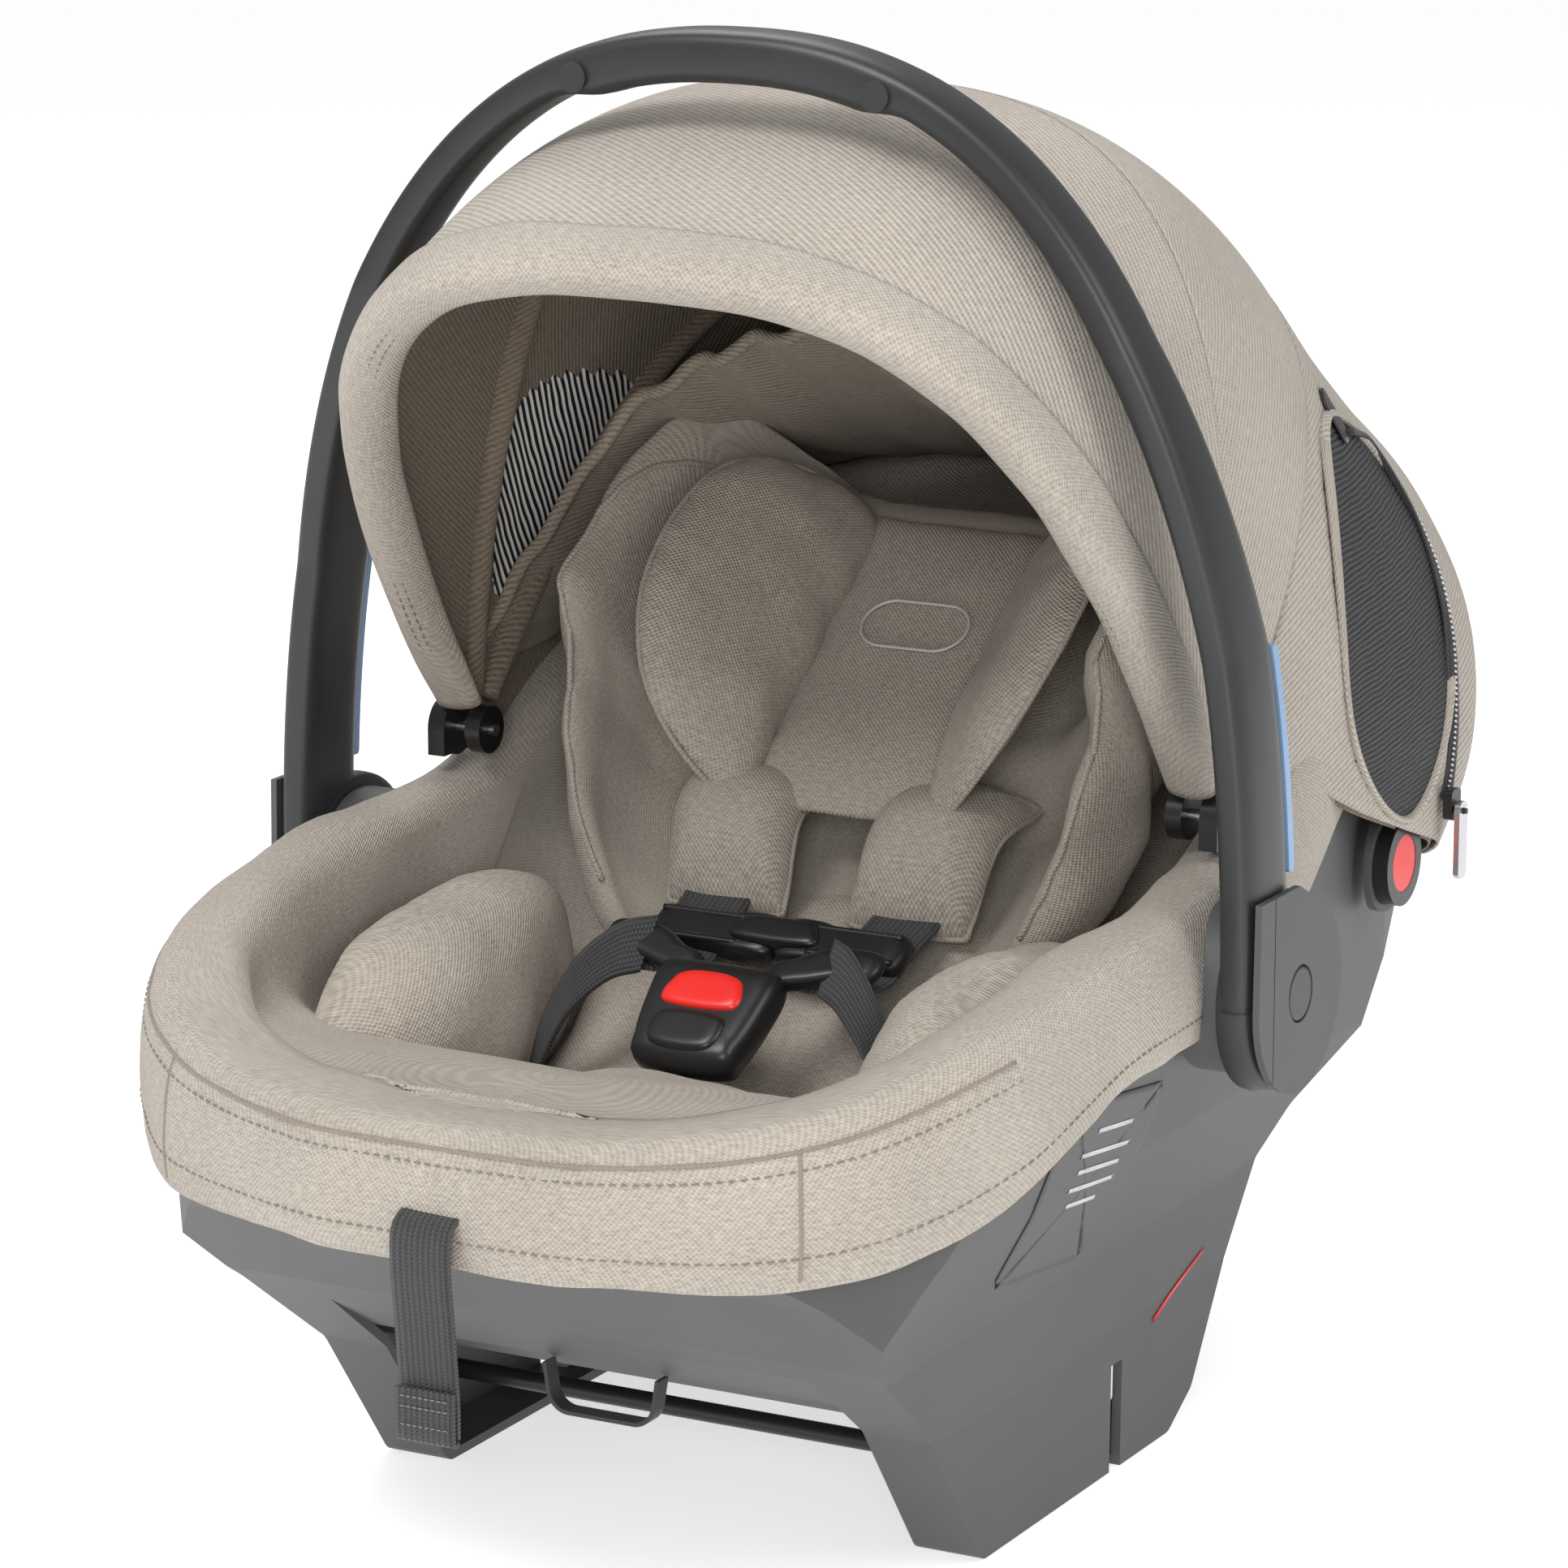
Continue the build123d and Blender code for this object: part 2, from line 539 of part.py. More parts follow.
FRONT_BOW_HALF = CANOPY_HALF - FABRIC - 1.0 - BOW
FRONT_BOW_R = CANOPY_R - FABRIC - 1.0 - BOW
with BuildPart() as canopy_front_bow:
    add(bow(FRONT_ANGLE, FRONT_BOW_HALF, FRONT_BOW_R))
    for side, s in SIDES:
        add(rod_x(HINGE_Y, HINGE_Z, KNUCKLE_R, s * (FRONT_BOW_HALF - 20), s * (FRONT_BOW_HALF + 10)),
            mode=Mode.SUBTRACT)
canopy_front_bow.part.label = "canopy_front_bow"
export_step(canopy_front_bow.part, "parts/canopy_front_bow.step")

# the front bow's round ends, which turn on the hinge rivets
with BuildPart() as canopy_front_knuckles:
    for side, s in SIDES:
        outer = s * FRONT_BOW_HALF
        add(rod_x(HINGE_Y, HINGE_Z, KNUCKLE_R, outer - s * BOW, outer))
        add(rod_x(HINGE_Y, HINGE_Z, RIVET_R + 0.05, outer - s * 20, outer + s * 10),
            mode=Mode.SUBTRACT)
canopy_front_knuckles.part.label = "canopy_front_knuckles"
export_step(canopy_front_knuckles.part, "parts/canopy_front_knuckles.step")

for name, start, end in (
    ("canopy_front_panel", FRONT_ANGLE, MID_ANGLE - 0.3),
    ("canopy_mid_panel", MID_ANGLE, REAR_ANGLE - 3.4),
):
    with BuildPart() as panel:
        revolve(bow_face(hinge_plane(start), CANOPY_HALF, CANOPY_R, FABRIC, 45.0, CANOPY_POWER),
                axis=HINGE, revolution_arc=end - start)
    panel.part.label = name
    export_step(panel.part, f"parts/{name}.step")

with BuildPart() as visor_binding:
    extrude(bow_face(hinge_plane(FRONT_ANGLE).offset(4), CANOPY_HALF, CANOPY_R, 9.0, 45.0,
                     CANOPY_POWER), amount=12)
visor_binding.part.label = "visor_binding"
export_step(visor_binding.part, "parts/visor_binding.step")

with BuildPart() as canopy_rear_bow:
    add(bow(REAR_ANGLE, CANOPY_HALF - FABRIC - 0.5, CANOPY_R - FABRIC - 3, lowest=110))
    for side, s in SIDES:
        add(block((s * 163.2, 43, 292), (s * 170, 51, 358)))
canopy_rear_bow.part.label = "canopy_rear_bow"
export_step(canopy_rear_bow.part, "parts/canopy_rear_bow.step")


def tent(inset):
    """The rear of the canopy: a hood over the head end, shrunk by inset."""
    return tub(TENT, inset, front=mirrored(TENT_FRONT_HALF), plan_grow=10.0)


REAR_WEDGE = [
    (18, 278), (172, 477), (345, 372), (345, 250), (262, 186), (140, 206), (60, 262),
]
WINDOW = [(112, 398), (172, 392), (212, 350), (196, 290), (132, 242), (84, 290)]
with BuildPart(mode=Mode.PRIVATE) as covered_seat:
    add(tub(SKIRT, -COVER_PROUD - 0.4))
    add(under_rim(6.5), mode=Mode.INTERSECT)
with BuildPart() as canopy_rear_panel:
    add(tent(0))
    add(tent(FABRIC), mode=Mode.SUBTRACT)
    add(prism(REAR_WEDGE, Plane.YZ, 260, radius=6), mode=Mode.INTERSECT)
    add(prism(WINDOW, Plane.YZ, 260, radius=12), mode=Mode.SUBTRACT)
    add(rod_x(POD_Y, POD_Z, POD_R + 4, -220, 220), mode=Mode.SUBTRACT)
    add(covered_seat.part, mode=Mode.SUBTRACT)
canopy_rear_panel.part.label = "canopy_rear_panel"
export_step(canopy_rear_panel.part, "parts/canopy_rear_panel.step")

with BuildPart() as mesh_windows:
    add(tent(0.5))
    add(tent(FABRIC - 0.5), mode=Mode.SUBTRACT)
    add(prism(WINDOW, Plane.YZ, 260, radius=12, grow=-0.3), mode=Mode.INTERSECT)
mesh_windows.part.label = "mesh_windows"
export_step(mesh_windows.part, "parts/mesh_windows.step")

with BuildPart() as canopy_sockets:
    for side, s in SIDES:
        add(block((s * 171.2, HINGE_Y - 12, 262.2), (s * 179, HINGE_Y + 12, HINGE_Z)))
        add(rod_x(HINGE_Y, HINGE_Z, 12, s * 171.2, s * 179))
        add(rod_x(HINGE_Y, HINGE_Z, RIVET_R + 0.02, s * 165, s * 185), mode=Mode.SUBTRACT)
canopy_sockets.part.label = "canopy_sockets"
export_step(canopy_sockets.part, "parts/canopy_sockets.step")

with BuildPart() as canopy_rivets:
    for side, s in SIDES:
        add(rod_x(HINGE_Y, HINGE_Z, RIVET_R, s * 153, s * 179.5))
        add(rod_x(HINGE_Y, HINGE_Z, 4.5, s * 179.2, s * 181))
canopy_rivets.part.label = "canopy_rivets"
export_step(canopy_rivets.part, "parts/canopy_rivets.step")

# ---------------------------------------------------------------- side pods
with BuildPart() as pod_collars:
    for side, s in SIDES:
        add(rod_x(POD_Y, POD_Z, POD_R + 3, s * 150, s * 176))
    add(tub(SKIRT, -COVER_PROUD - 0.3), mode=Mode.SUBTRACT)
pod_collars.part.label = "pod_collars"
export_step(pod_collars.part, "parts/pod_collars.step")

with BuildPart() as pod_caps:
    for side, s in SIDES:
        add(rod_x(POD_Y, POD_Z, POD_R, s * 176.2, s * 183))
        add(rod_x(POD_Y, POD_Z, POD_R - 6, s * 181.5, s * 185), mode=Mode.SUBTRACT)
pod_caps.part.label = "pod_caps"
export_step(pod_caps.part, "parts/pod_caps.step")

with BuildPart() as pod_discs:
    for side, s in SIDES:
        add(rod_x(POD_Y, POD_Z, POD_R - 6.1, s * 181.6, s * 182.8))
pod_discs.part.label = "pod_discs"
export_step(pod_discs.part, "parts/pod_discs.step")

# ---------------------------------------------------------------- small pieces
with BuildPart() as grip_plugs:
    for side, s in SIDES:
        with BuildSketch(Plane.XZ.offset(109.7)):
            with Locations((s * 65.5, 556)):
                Circle(6)
        extrude(amount=1.6)
grip_plugs.part.label = "grip_plugs"
export_step(grip_plugs.part, "parts/grip_plugs.step")

# zip along the hood's lower rear edge, on both sides
ZIP_LINE = [(206, 352), (190, 288), (130, 226)]
ZIP_OUT = 2.2
with BuildPart() as zipper:
    add(tent(-ZIP_OUT))
    add(tent(-0.2), mode=Mode.SUBTRACT)
    with BuildSketch(Plane.YZ):
        with BuildLine():
            FilletPolyline(*[(y + 16, z - 6) for y, z in ZIP_LINE], radius=20)
        trace(line_width=9)
    extrude(amount=260, both=True, mode=Mode.INTERSECT)
    add(rod_x(POD_Y, POD_Z, POD_R + 4, -220, 220), mode=Mode.SUBTRACT)
zipper.part.label = "zipper"
export_step(zipper.part, "parts/zipper.step")

PULL_Y, PULL_Z, PULL_X = 168.0, 240.0, 190.0
with BuildPart() as zipper_slider:
    add(block((PULL_X, PULL_Y - 5, PULL_Z - 7), (PULL_X + 4, PULL_Y + 5, PULL_Z + 6)))
    fillet(zipper_slider.edges().filter_by(Axis.X), 2.5)
    add(rod_x(PULL_Y, PULL_Z - 3, 1.2, PULL_X + 4, PULL_X + 9))
zipper_slider.part.label = "zipper_slider"
export_step(zipper_slider.part, "parts/zipper_slider.step")

with BuildPart() as zipper_pull:
    add(block((PULL_X + 5, PULL_Y - 4.5, PULL_Z - 32), (PULL_X + 7.4, PULL_Y + 4.5, PULL_Z + 1)))
    fillet(zipper_pull.edges().filter_by(Axis.X), 3.5)
    add(rod_x(PULL_Y, PULL_Z - 3, 1.5, PULL_X, PULL_X + 12), mode=Mode.SUBTRACT)
zipper_pull.part.label = "zipper_pull"
export_step(zipper_pull.part, "parts/zipper_pull.step")

LEVER_Y, LEVER_Z = 232.0, 246.0
with BuildPart() as release_lever:
    with BuildSketch(Plane.YZ):
        with BuildLine():
            FilletPolyline((LEVER_Y - 6, LEVER_Z + 5), (LEVER_Y + 5, LEVER_Z + 6),
                           (LEVER_Y + 12, LEVER_Z - 22), (LEVER_Y + 4, LEVER_Z - 30),
                           (LEVER_Y - 6, LEVER_Z - 12), radius=3, close=True)
        make_face()
    extrude(amount=46, both=True)
    add(rod_x(LEVER_Y, LEVER_Z, 3.05, -60, 60), mode=Mode.SUBTRACT)
release_lever.part.label = "release_lever"
export_step(release_lever.part, "parts/release_lever.step")

with BuildPart() as release_pin:
    add(rod_x(LEVER_Y, LEVER_Z, 3.0, -56, 56))
    for side, s in SIDES:
        add(block((s * 47, LEVER_Y - 5, LEVER_Z - 5), (s * 53, LEVER_Y + 5, LEVER_Z + 22)))
    add(prism([(190, 289), (258, 237), (258, 120), (190, 120)], Plane.YZ, 200, radius=1),
        mode=Mode.INTERSECT)
release_pin.part.label = "release_pin"
export_step(release_pin.part, "parts/release_pin.step")

with BuildPart() as elastic_loop:
    with BuildSketch(Plane.XZ.offset(202)):
        with BuildLine():
            FilletPolyline((-25, 73), (-22, 54), (22, 54), (25, 73), radius=9)
        trace(line_width=1.6)
    extrude(amount=8)
    add(prism(PAN, Plane.YZ, 200, grow=0.9), mode=Mode.SUBTRACT)
elastic_loop.part.label = "elastic_loop"
export_step(elastic_loop.part, "parts/elastic_loop.step")
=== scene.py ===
"""Looks of the infant car seat: fabrics, cushions, harness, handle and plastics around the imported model.

Points are written in millimetres and turned into metres when a mesh is made. +X is the seat's
right-hand side in the view, -Y is the foot end and +Z is up.
"""
import math

import bmesh
import bpy
import numpy as np
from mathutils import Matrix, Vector, noise
from mathutils.bvhtree import BVHTree


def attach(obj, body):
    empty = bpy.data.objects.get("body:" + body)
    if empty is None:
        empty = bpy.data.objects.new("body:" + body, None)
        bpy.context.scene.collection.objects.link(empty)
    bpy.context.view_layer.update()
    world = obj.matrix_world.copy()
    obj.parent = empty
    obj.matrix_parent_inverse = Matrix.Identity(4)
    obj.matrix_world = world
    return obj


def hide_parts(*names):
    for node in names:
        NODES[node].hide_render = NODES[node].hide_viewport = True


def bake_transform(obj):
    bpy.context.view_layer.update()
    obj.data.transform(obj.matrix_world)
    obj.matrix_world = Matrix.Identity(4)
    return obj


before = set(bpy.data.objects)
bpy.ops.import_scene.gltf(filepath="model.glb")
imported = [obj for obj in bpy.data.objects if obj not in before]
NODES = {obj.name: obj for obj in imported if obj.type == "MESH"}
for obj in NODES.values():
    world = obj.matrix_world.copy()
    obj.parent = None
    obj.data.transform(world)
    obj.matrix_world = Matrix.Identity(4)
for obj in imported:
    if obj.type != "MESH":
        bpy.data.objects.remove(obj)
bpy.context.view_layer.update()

MM = 0.001
SIDES = (("left", -1), ("right", 1))

# the backrest's own axes: x across, t up the back, n out of the back
BIGHT = np.array((0.0, -110.0, 97.0))
UP = np.array((0.0, 0.799, 0.602))
OUT = np.array((0.0, -0.602, 0.799))
ACROSS = np.array((1.0, 0.0, 0.0))

HINGE = np.array((0.0, -28.0, 273.0))
FRONT_ANGLE, MID_ANGLE, REAR_ANGLE = 55.0, 97.0, 133.0
PIVOT_Y, PIVOT_Z = -55.0, 215.0


def on_back(x, t, n):
    return BIGHT + x * ACROSS + t * UP + n * OUT


# ---------------------------------------------------------------- curves
def catmull(points, count):
    """count points along a smooth curve through the given ones, evenly spaced in parameter."""
    p = np.asarray(points, float)
    place = np.linspace(0, len(p) - 1, count)
    start = np.minimum(place.astype(int), len(p) - 2)
    f = (place - start)[:, None]
    q = np.vstack([2 * p[0] - p[1], p, 2 * p[-1] - p[-2]])
    a, b, c, d = q[start], q[start + 1], q[start + 2], q[start + 3]
    return b + f / 2 * (c - a + f * (2 * a - 5 * b + 4 * c - d + f * (3 * (b - c) + d - a)))


def along(points):
    return np.concatenate([[0], np.cumsum(np.linalg.norm(np.diff(points, axis=0), axis=1))])


def evenly(points, count, closed=False):
    """count points evenly spaced by length along a smooth curve through the given ones."""
    p = np.asarray(points, float)
    number = len(p)
    if closed:
        p = np.vstack([p[-1:], p, p[:2]])
    dense = catmull(p, 40 * (len(p) - 1) + 1)
    if closed:
        dense = dense[40: 40 * (number + 1) + 1]
    s = along(dense)
    at = np.linspace(0, s[-1], count + 1)[:-1] if closed else np.linspace(0, s[-1], count)
    return np.stack([np.interp(at, s, dense[:, k]) for k in range(p.shape[1])], 1)


def ease(x):
    x = np.clip(x, 0.0, 1.0)
    return x * x * (3 - 2 * x)


# ---------------------------------------------------------------- materials
class Look:
    """A node-based material, with short calls for the nodes used here."""

    def __init__(self, name, rough, color=(0.5, 0.5, 0.5)):
        self.mat = bpy.data.materials.new(name)
        self.mat.use_nodes = True
        self.tree = self.mat.node_tree
        self.bsdf = self.tree.nodes["Principled BSDF"]
        self.bsdf.inputs["Roughness"].default_value = rough
        self.bsdf.inputs["Base Color"].default_value = (*color, 1)

    def node(self, kind, values=(), **settings):
        n = self.tree.nodes.new(kind)
        for key, value in settings.items():
            setattr(n, key, value)
        for slot, value in dict(values).items():
            if isinstance(value, bpy.types.NodeSocket):
                self.tree.links.new(value, n.inputs[slot])
            else:
                n.inputs[slot].default_value = value
        return n.outputs

    def math(self, operation, a, b=0.0):
        return self.node("ShaderNodeMath", {0: a, 1: b}, operation=operation)[0]

    def link(self, socket, slot):
        self.tree.links.new(socket, self.bsdf.inputs[slot])

    def ramp(self, factor, dark, light, low=0.0, high=1.0):
        r = self.tree.nodes.new("ShaderNodeValToRGB")
        self.tree.links.new(factor, r.inputs[0])
        r.color_ramp.elements[0].position = low
        r.color_ramp.elements[1].position = high
        r.color_ramp.elements[0].color = (*dark, 1)
        r.color_ramp.elements[1].color = (*light, 1)
        return r.outputs[0]

    def bump(self, height, strength, distance, after=None):
        values = {"Height": height, "Strength": strength, "Distance": distance}
        if after is not None:
            values["Normal"] = after
        out = self.node("ShaderNodeBump", values)["Normal"]
        self.link(out, "Normal")
        return out


def waves(look, coordinate, pitch):
    """A sine along one coordinate in metres, once every pitch metres."""
    return look.math("SINE", look.math("MULTIPLY", coordinate, 2 * math.pi / pitch))


def woven(name, dark, light, pitch=0.0022, twill=False, depth=0.0005, rough=0.92, sheen=0.12):
    """Melange cloth from UVs in metres: a basket weave, or the fine slanted ribs of a twill."""
    look = Look(name, rough)
    uv = look.node("ShaderNodeTexCoord")["UV"]
    split = look.node("ShaderNodeSeparateXYZ", {0: uv})
    u, v = split[0], split[1]
    if twill:
        slant = look.math("ADD", look.math("MULTIPLY", u, 0.55), look.math("MULTIPLY", v, 0.83))
        height = waves(look, slant, pitch)
        height = look.math("ADD", height, look.math("MULTIPLY", waves(look, u, pitch * 0.6), 0.3))
    else:
        height = look.math("MULTIPLY", waves(look, u, pitch), waves(look, v, pitch))
    fibre = look.node("ShaderNodeMapping", {"Vector": uv, "Scale": (260, 900, 1)})[0]
    flecks = look.node("ShaderNodeTexNoise", {"Vector": fibre, "Scale": 1.0, "Detail": 3.0})[0]
    broad = look.node("ShaderNodeTexNoise", {"Vector": uv, "Scale": 14.0, "Detail": 2.0})[0]
    tone = look.math("MULTIPLY", look.math("ADD", height, 1.0), 0.16)
    tone = look.math("ADD", tone, look.math("MULTIPLY", flecks, 0.75))
    tone = look.math("ADD", tone, look.math("MULTIPLY", broad, 0.25))
    look.link(look.ramp(tone, dark, light, 0.3, 0.95), "Base Color")
    relief = look.math("ADD", height, look.math("MULTIPLY", flecks, 1.2))
    look.bump(relief, 0.55, depth)
    look.bsdf.inputs["Sheen Weight"].default_value = sheen
    look.bsdf.inputs["Sheen Roughness"].default_value = 0.6
    look.bsdf.inputs["Specular IOR Level"].default_value = 0.2
    return look.mat


def plastic(name, color, rough, grain=0.00006, scale=1900.0, specular=0.5):
    """Moulded plastic with a fine spark-eroded grain and slightly uneven gloss."""
    look = Look(name, rough)
    where = look.node("ShaderNodeTexCoord")["Object"]
    fine = look.node("ShaderNodeTexNoise", {"Vector": where, "Scale": scale, "Detail": 2.0})[0]
    broad = look.node("ShaderNodeTexNoise", {"Vector": where, "Scale": 9.0, "Detail": 3.0})[0]
    darker = tuple(0.86 * c for c in color)
    lighter = tuple(1.12 * c for c in color)
    look.link(look.ramp(broad, darker, lighter, 0.35, 0.7), "Base Color")
    gloss = look.math("ADD", look.math("MULTIPLY", broad, 0.12), rough - 0.06)
    look.link(gloss, "Roughness")
    look.bump(fine, 0.5, grain)
    look.bsdf.inputs["Specular IOR Level"].default_value = specular
    return look.mat


def metal(name, color, rough):
    look = Look(name, rough)
    where = look.node("ShaderNodeTexCoord")["Object"]
    streaks = look.node("ShaderNodeTexNoise", {"Vector": where, "Scale": 700.0, "Detail": 3.0})[0]
    look.link(look.ramp(streaks, tuple(0.8 * c for c in color), color), "Base Color")
    look.bsdf.inputs["Metallic"].default_value = 1.0
    look.bump(streaks, 0.3, 0.00004)
    return look.mat


def webbing_look(name, dark, light):
    """Seat-belt webbing: lengthwise ribs crossed by fine picks, from UVs in metres."""
    look = Look(name, 0.62)
    uv = look.node("ShaderNodeTexCoord")["UV"]
    split = look.node("ShaderNodeSeparateXYZ", {0: uv})
    ribs = waves(look, split[0], 0.0024)
    picks = waves(look, look.math("ADD", split[1], look.math("MULTIPLY", ribs, 0.0004)), 0.0016)
    height = look.math("ADD", ribs, look.math("MULTIPLY", picks, 0.7))
    tone = look.math("MULTIPLY", look.math("ADD", height, 1.7), 0.3)
    look.link(look.ramp(tone, dark, light), "Base Color")
    look.bump(height, 0.6, 0.0004)
    look.bsdf.inputs["Sheen Weight"].default_value = 0.1
    return look.mat


def mesh_look(name, dark, light, pitch, clear):
    """Sheer striped netting: slanted dark threads and lighter stripes, with small holes that let light
    through. Where the lighter colour is near white, those stripes are painted light: they stand in for the
    bright backdrop seen through the gaps between the threads.
    """
    look = Look(name, 0.6)
    uv = look.node("ShaderNodeTexCoord")["UV"]
    split = look.node("ShaderNodeSeparateXYZ", {0: uv})
    wobble = look.node("ShaderNodeTexNoise", {"Vector": uv, "Scale": 60.0, "Detail": 1.0})[0]
    slant = look.math("ADD", split[0], look.math("MULTIPLY", split[1], 0.9))
    slant = look.math("ADD", slant, look.math("MULTIPLY", wobble, 0.004))
    stripes = waves(look, slant, pitch)
    look.link(look.ramp(look.math("MULTIPLY", look.math("ADD", stripes, 1.0), 0.5), dark, light,
                        0.45, 0.6), "Base Color")
    holes = look.math("MULTIPLY", waves(look, split[0], 0.0016), waves(look, split[1], 0.0016))
    solid = look.math("LESS_THAN", holes, 1.0 - clear)
    look.link(look.math("MAXIMUM", solid, 0.55), "Alpha")
    look.bump(stripes, 0.4, 0.0003)
    return look.mat


BEIGE_DARK, BEIGE_LIGHT = (0.235, 0.205, 0.172), (0.56, 0.505, 0.44)
COVER = woven("cover_weave", BEIGE_DARK, BEIGE_LIGHT)
CUSHION = woven("cushion_weave", (0.225, 0.196, 0.163), (0.56, 0.50, 0.43), pitch=0.002)
CANOPY = woven("canopy_twill", (0.25, 0.22, 0.185), (0.56, 0.505, 0.44), 0.0026, True, 0.0004)
LINING = woven("lining_twill", (0.11, 0.085, 0.06), (0.27, 0.22, 0.165), 0.0026, True, 0.0004)
THREAD = woven("thread", (0.20, 0.17, 0.135), (0.34, 0.29, 0.24), 0.001, False, 0.0002)
SHELL = plastic("shell_grain", (0.078, 0.078, 0.081), 0.55, 0.00012, 1500.0)
HANDLE = plastic("handle_satin", (0.024, 0.025, 0.027), 0.4, 0.00004)
BLACK = plastic("buckle_black", (0.012, 0.012, 0.013), 0.34, 0.00003)
RED = plastic("button_red", (0.80, 0.022, 0.018), 0.32, 0.00002)
BLUE = plastic("guide_blue", (0.26, 0.40, 0.62), 0.42, 0.00003)
STEEL = metal("steel", (0.62, 0.62, 0.63), 0.3)
WEBBING = webbing_look("webbing_black", (0.008, 0.008, 0.009), (0.055, 0.055, 0.06))
FOAM = plastic("foam_beads", (0.10, 0.10, 0.105), 0.9, 0.0009, 260.0)
# the near-white stripes of these two nets are painted light: they stand in for the bright backdrop seen
# through the gaps of a sheer black net
NET = mesh_look("net_striped_painted_backdrop", (0.012, 0.012, 0.014), (0.82, 0.82, 0.80), 0.0052, 0.5)
NET_IN = mesh_look("net_lining_painted_backdrop", (0.012, 0.012, 0.014), (0.85, 0.85, 0.83), 0.0060, 0.0)
FOLDS = woven("gathered_twill", (0.14, 0.115, 0.085), (0.38, 0.32, 0.255), 0.0026, True, 0.0004)
NET_OUT = mesh_look("net_black", (0.010, 0.010, 0.012), (0.045, 0.045, 0.05), 0.0034, 0.5)
PALE = plastic("print_grey", (0.55, 0.55, 0.56), 0.45, 0.00002)


# ---------------------------------------------------------------- mesh building
def finish(obj, body, replaces=()):
    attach(obj, body)
    if replaces:
        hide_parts(*replaces)
    return obj


def surface(name, rows, material, around=False, uv=None, weld=0.0, thick=0.0, grow=-1.0):
    """A smooth quad mesh through rows of points in millimetres, with UVs in metres.

    around joins each row's end to its start. uv, one pair per point, replaces the lengths along
    the surface. weld merges points that are closer than it is. thick makes it a solid sheet.
    """
    points = np.asarray(rows, float) * MM
    n, m = points.shape[:2]
    wide = np.concatenate([points, points[:, :1]], 1) if around else points
    w = wide.shape[1]
    if uv is None:
        across = np.concatenate(
            [np.zeros((n, 1)), np.cumsum(np.linalg.norm(np.diff(wide, axis=1), axis=2), 1)], 1)
        across -= across[:, [w // 2]]
        down = np.concatenate(
            [np.zeros((1, w)), np.cumsum(np.linalg.norm(np.diff(wide, axis=0), axis=2), 0)], 0)
        flat = np.stack([across, down], 2)
    else:
        flat = np.asarray(uv, float) * MM
        if around:
            flat = np.concatenate([flat, flat[:, :1]], 1)
    faces = []
    corners = []
    for i in range(n - 1):
        for j in range(w - 1):
            k = (j + 1) % m
            faces.append((i * m + j, i * m + k, (i + 1) * m + k, (i + 1) * m + j))
            corners += [flat[i, j], flat[i, j + 1], flat[i + 1, j + 1], flat[i + 1, j]]
    mesh = bpy.data.meshes.new(name)
    mesh.from_pydata(points.reshape(-1, 3).tolist(), [], faces)
    layer = mesh.uv_layers.new(name="UVMap")
    layer.data.foreach_set("uv", np.asarray(corners).ravel())
    mesh.polygons.foreach_set("use_smooth", [True] * len(mesh.polygons))
    mesh.materials.append(material)
    if weld:
        bm = bmesh.new()
        bm.from_mesh(mesh)
        bmesh.ops.remove_doubles(bm, verts=bm.verts, dist=weld * MM)
        bmesh.ops.dissolve_degenerate(bm, edges=bm.edges, dist=1e-6)
        bm.to_mesh(mesh)
        bm.free()
    obj = bpy.data.objects.new(name, mesh)
    bpy.context.scene.collection.objects.link(obj)
    if thick:
        thicken(obj, thick, grow)
    return obj


def thicken(obj, thickness, offset=-1.0):
    solid = obj.modifiers.new("thick", "SOLIDIFY")
    solid.thickness = thickness * MM
    solid.offset = offset


def sewn(pad, body, fill, replaces, *folds):
    """Rumples a pad by each (size, depth, seed), and attaches it to its body in place of the parts it
    replaces.
    """
    for fold in folds:
        rumple(pad, *fold)
    finish(pad, body, replaces)


def face_out(obj):
    """Turns the faces of a closed mesh outwards."""
    bm = bmesh.new()
    bm.from_mesh(obj.data)
    bmesh.ops.recalc_face_normals(bm, faces=bm.faces)
    bm.to_mesh(obj.data)
    bm.free()
    return obj


def rumple(obj, size, depth, seed=0.0):
    """Moves the points in and out by smooth noise, as padding does under cloth."""
    shift = Vector((seed, 2 * seed, -seed))
    normals = [v.normal.copy() for v in obj.data.vertices]
    for v, normal in zip(obj.data.vertices, normals):
        v.co += normal * (noise.noise(v.co / (size * MM) + shift) * depth * MM)


def cushion(name, outline, place, height, material, under=3.0, square=3.0, crown=0.5, rings=16,
            around=112, dimple=0.0):
    """A crowned pad over a closed outline of (u, v) points; place(u, v, n) gives its points."""
    edge = evenly(outline, around, closed=True)
    middle = edge.mean(axis=0)
    steps = [(1 - (1 - k / rings) ** 1.6, 1) for k in range(rings + 1)]
    steps += [(r, -1) for r in (0.985, 0.93, 0.8, 0.5, 0.0)]
    rows, flat = [], []
    for r, side in steps:
        ring = middle + r * (edge - middle)
        fullness = max(0.0, 1 - r ** square) ** crown
        n = height * fullness * (1 - dimple * (1 - r) ** 2) if side > 0 else -under * fullness
        rows.append([place(u, v, n) for u, v in ring])
        flat.append(ring + (0 if side > 0 else (400, 0)))
    obj = surface(name, rows, material, around=True, uv=flat, weld=0.02)
    return face_out(obj)


def ribbon(name, path, width, across, material, thick=1.8, count=60):
    """A flat strap along a path; across is the direction of its width, one for each point or all."""
    middle = evenly(path, count)
    side = np.asarray(across, float)
    if side.ndim == 2:
        side = evenly(side, count)
    else:
        side = np.tile(side, (count, 1))
    side /= np.linalg.norm(side, axis=1)[:, None]
    steps = np.linspace(-0.5, 0.5, 7) * width
    rows = np.stack([middle + side * s for s in steps], 1)
    uv = np.stack(np.broadcast_arrays(steps[None, :], along(middle)[:, None]), 2)
    return surface(name, rows, material, uv=uv, thick=thick, grow=0.0)


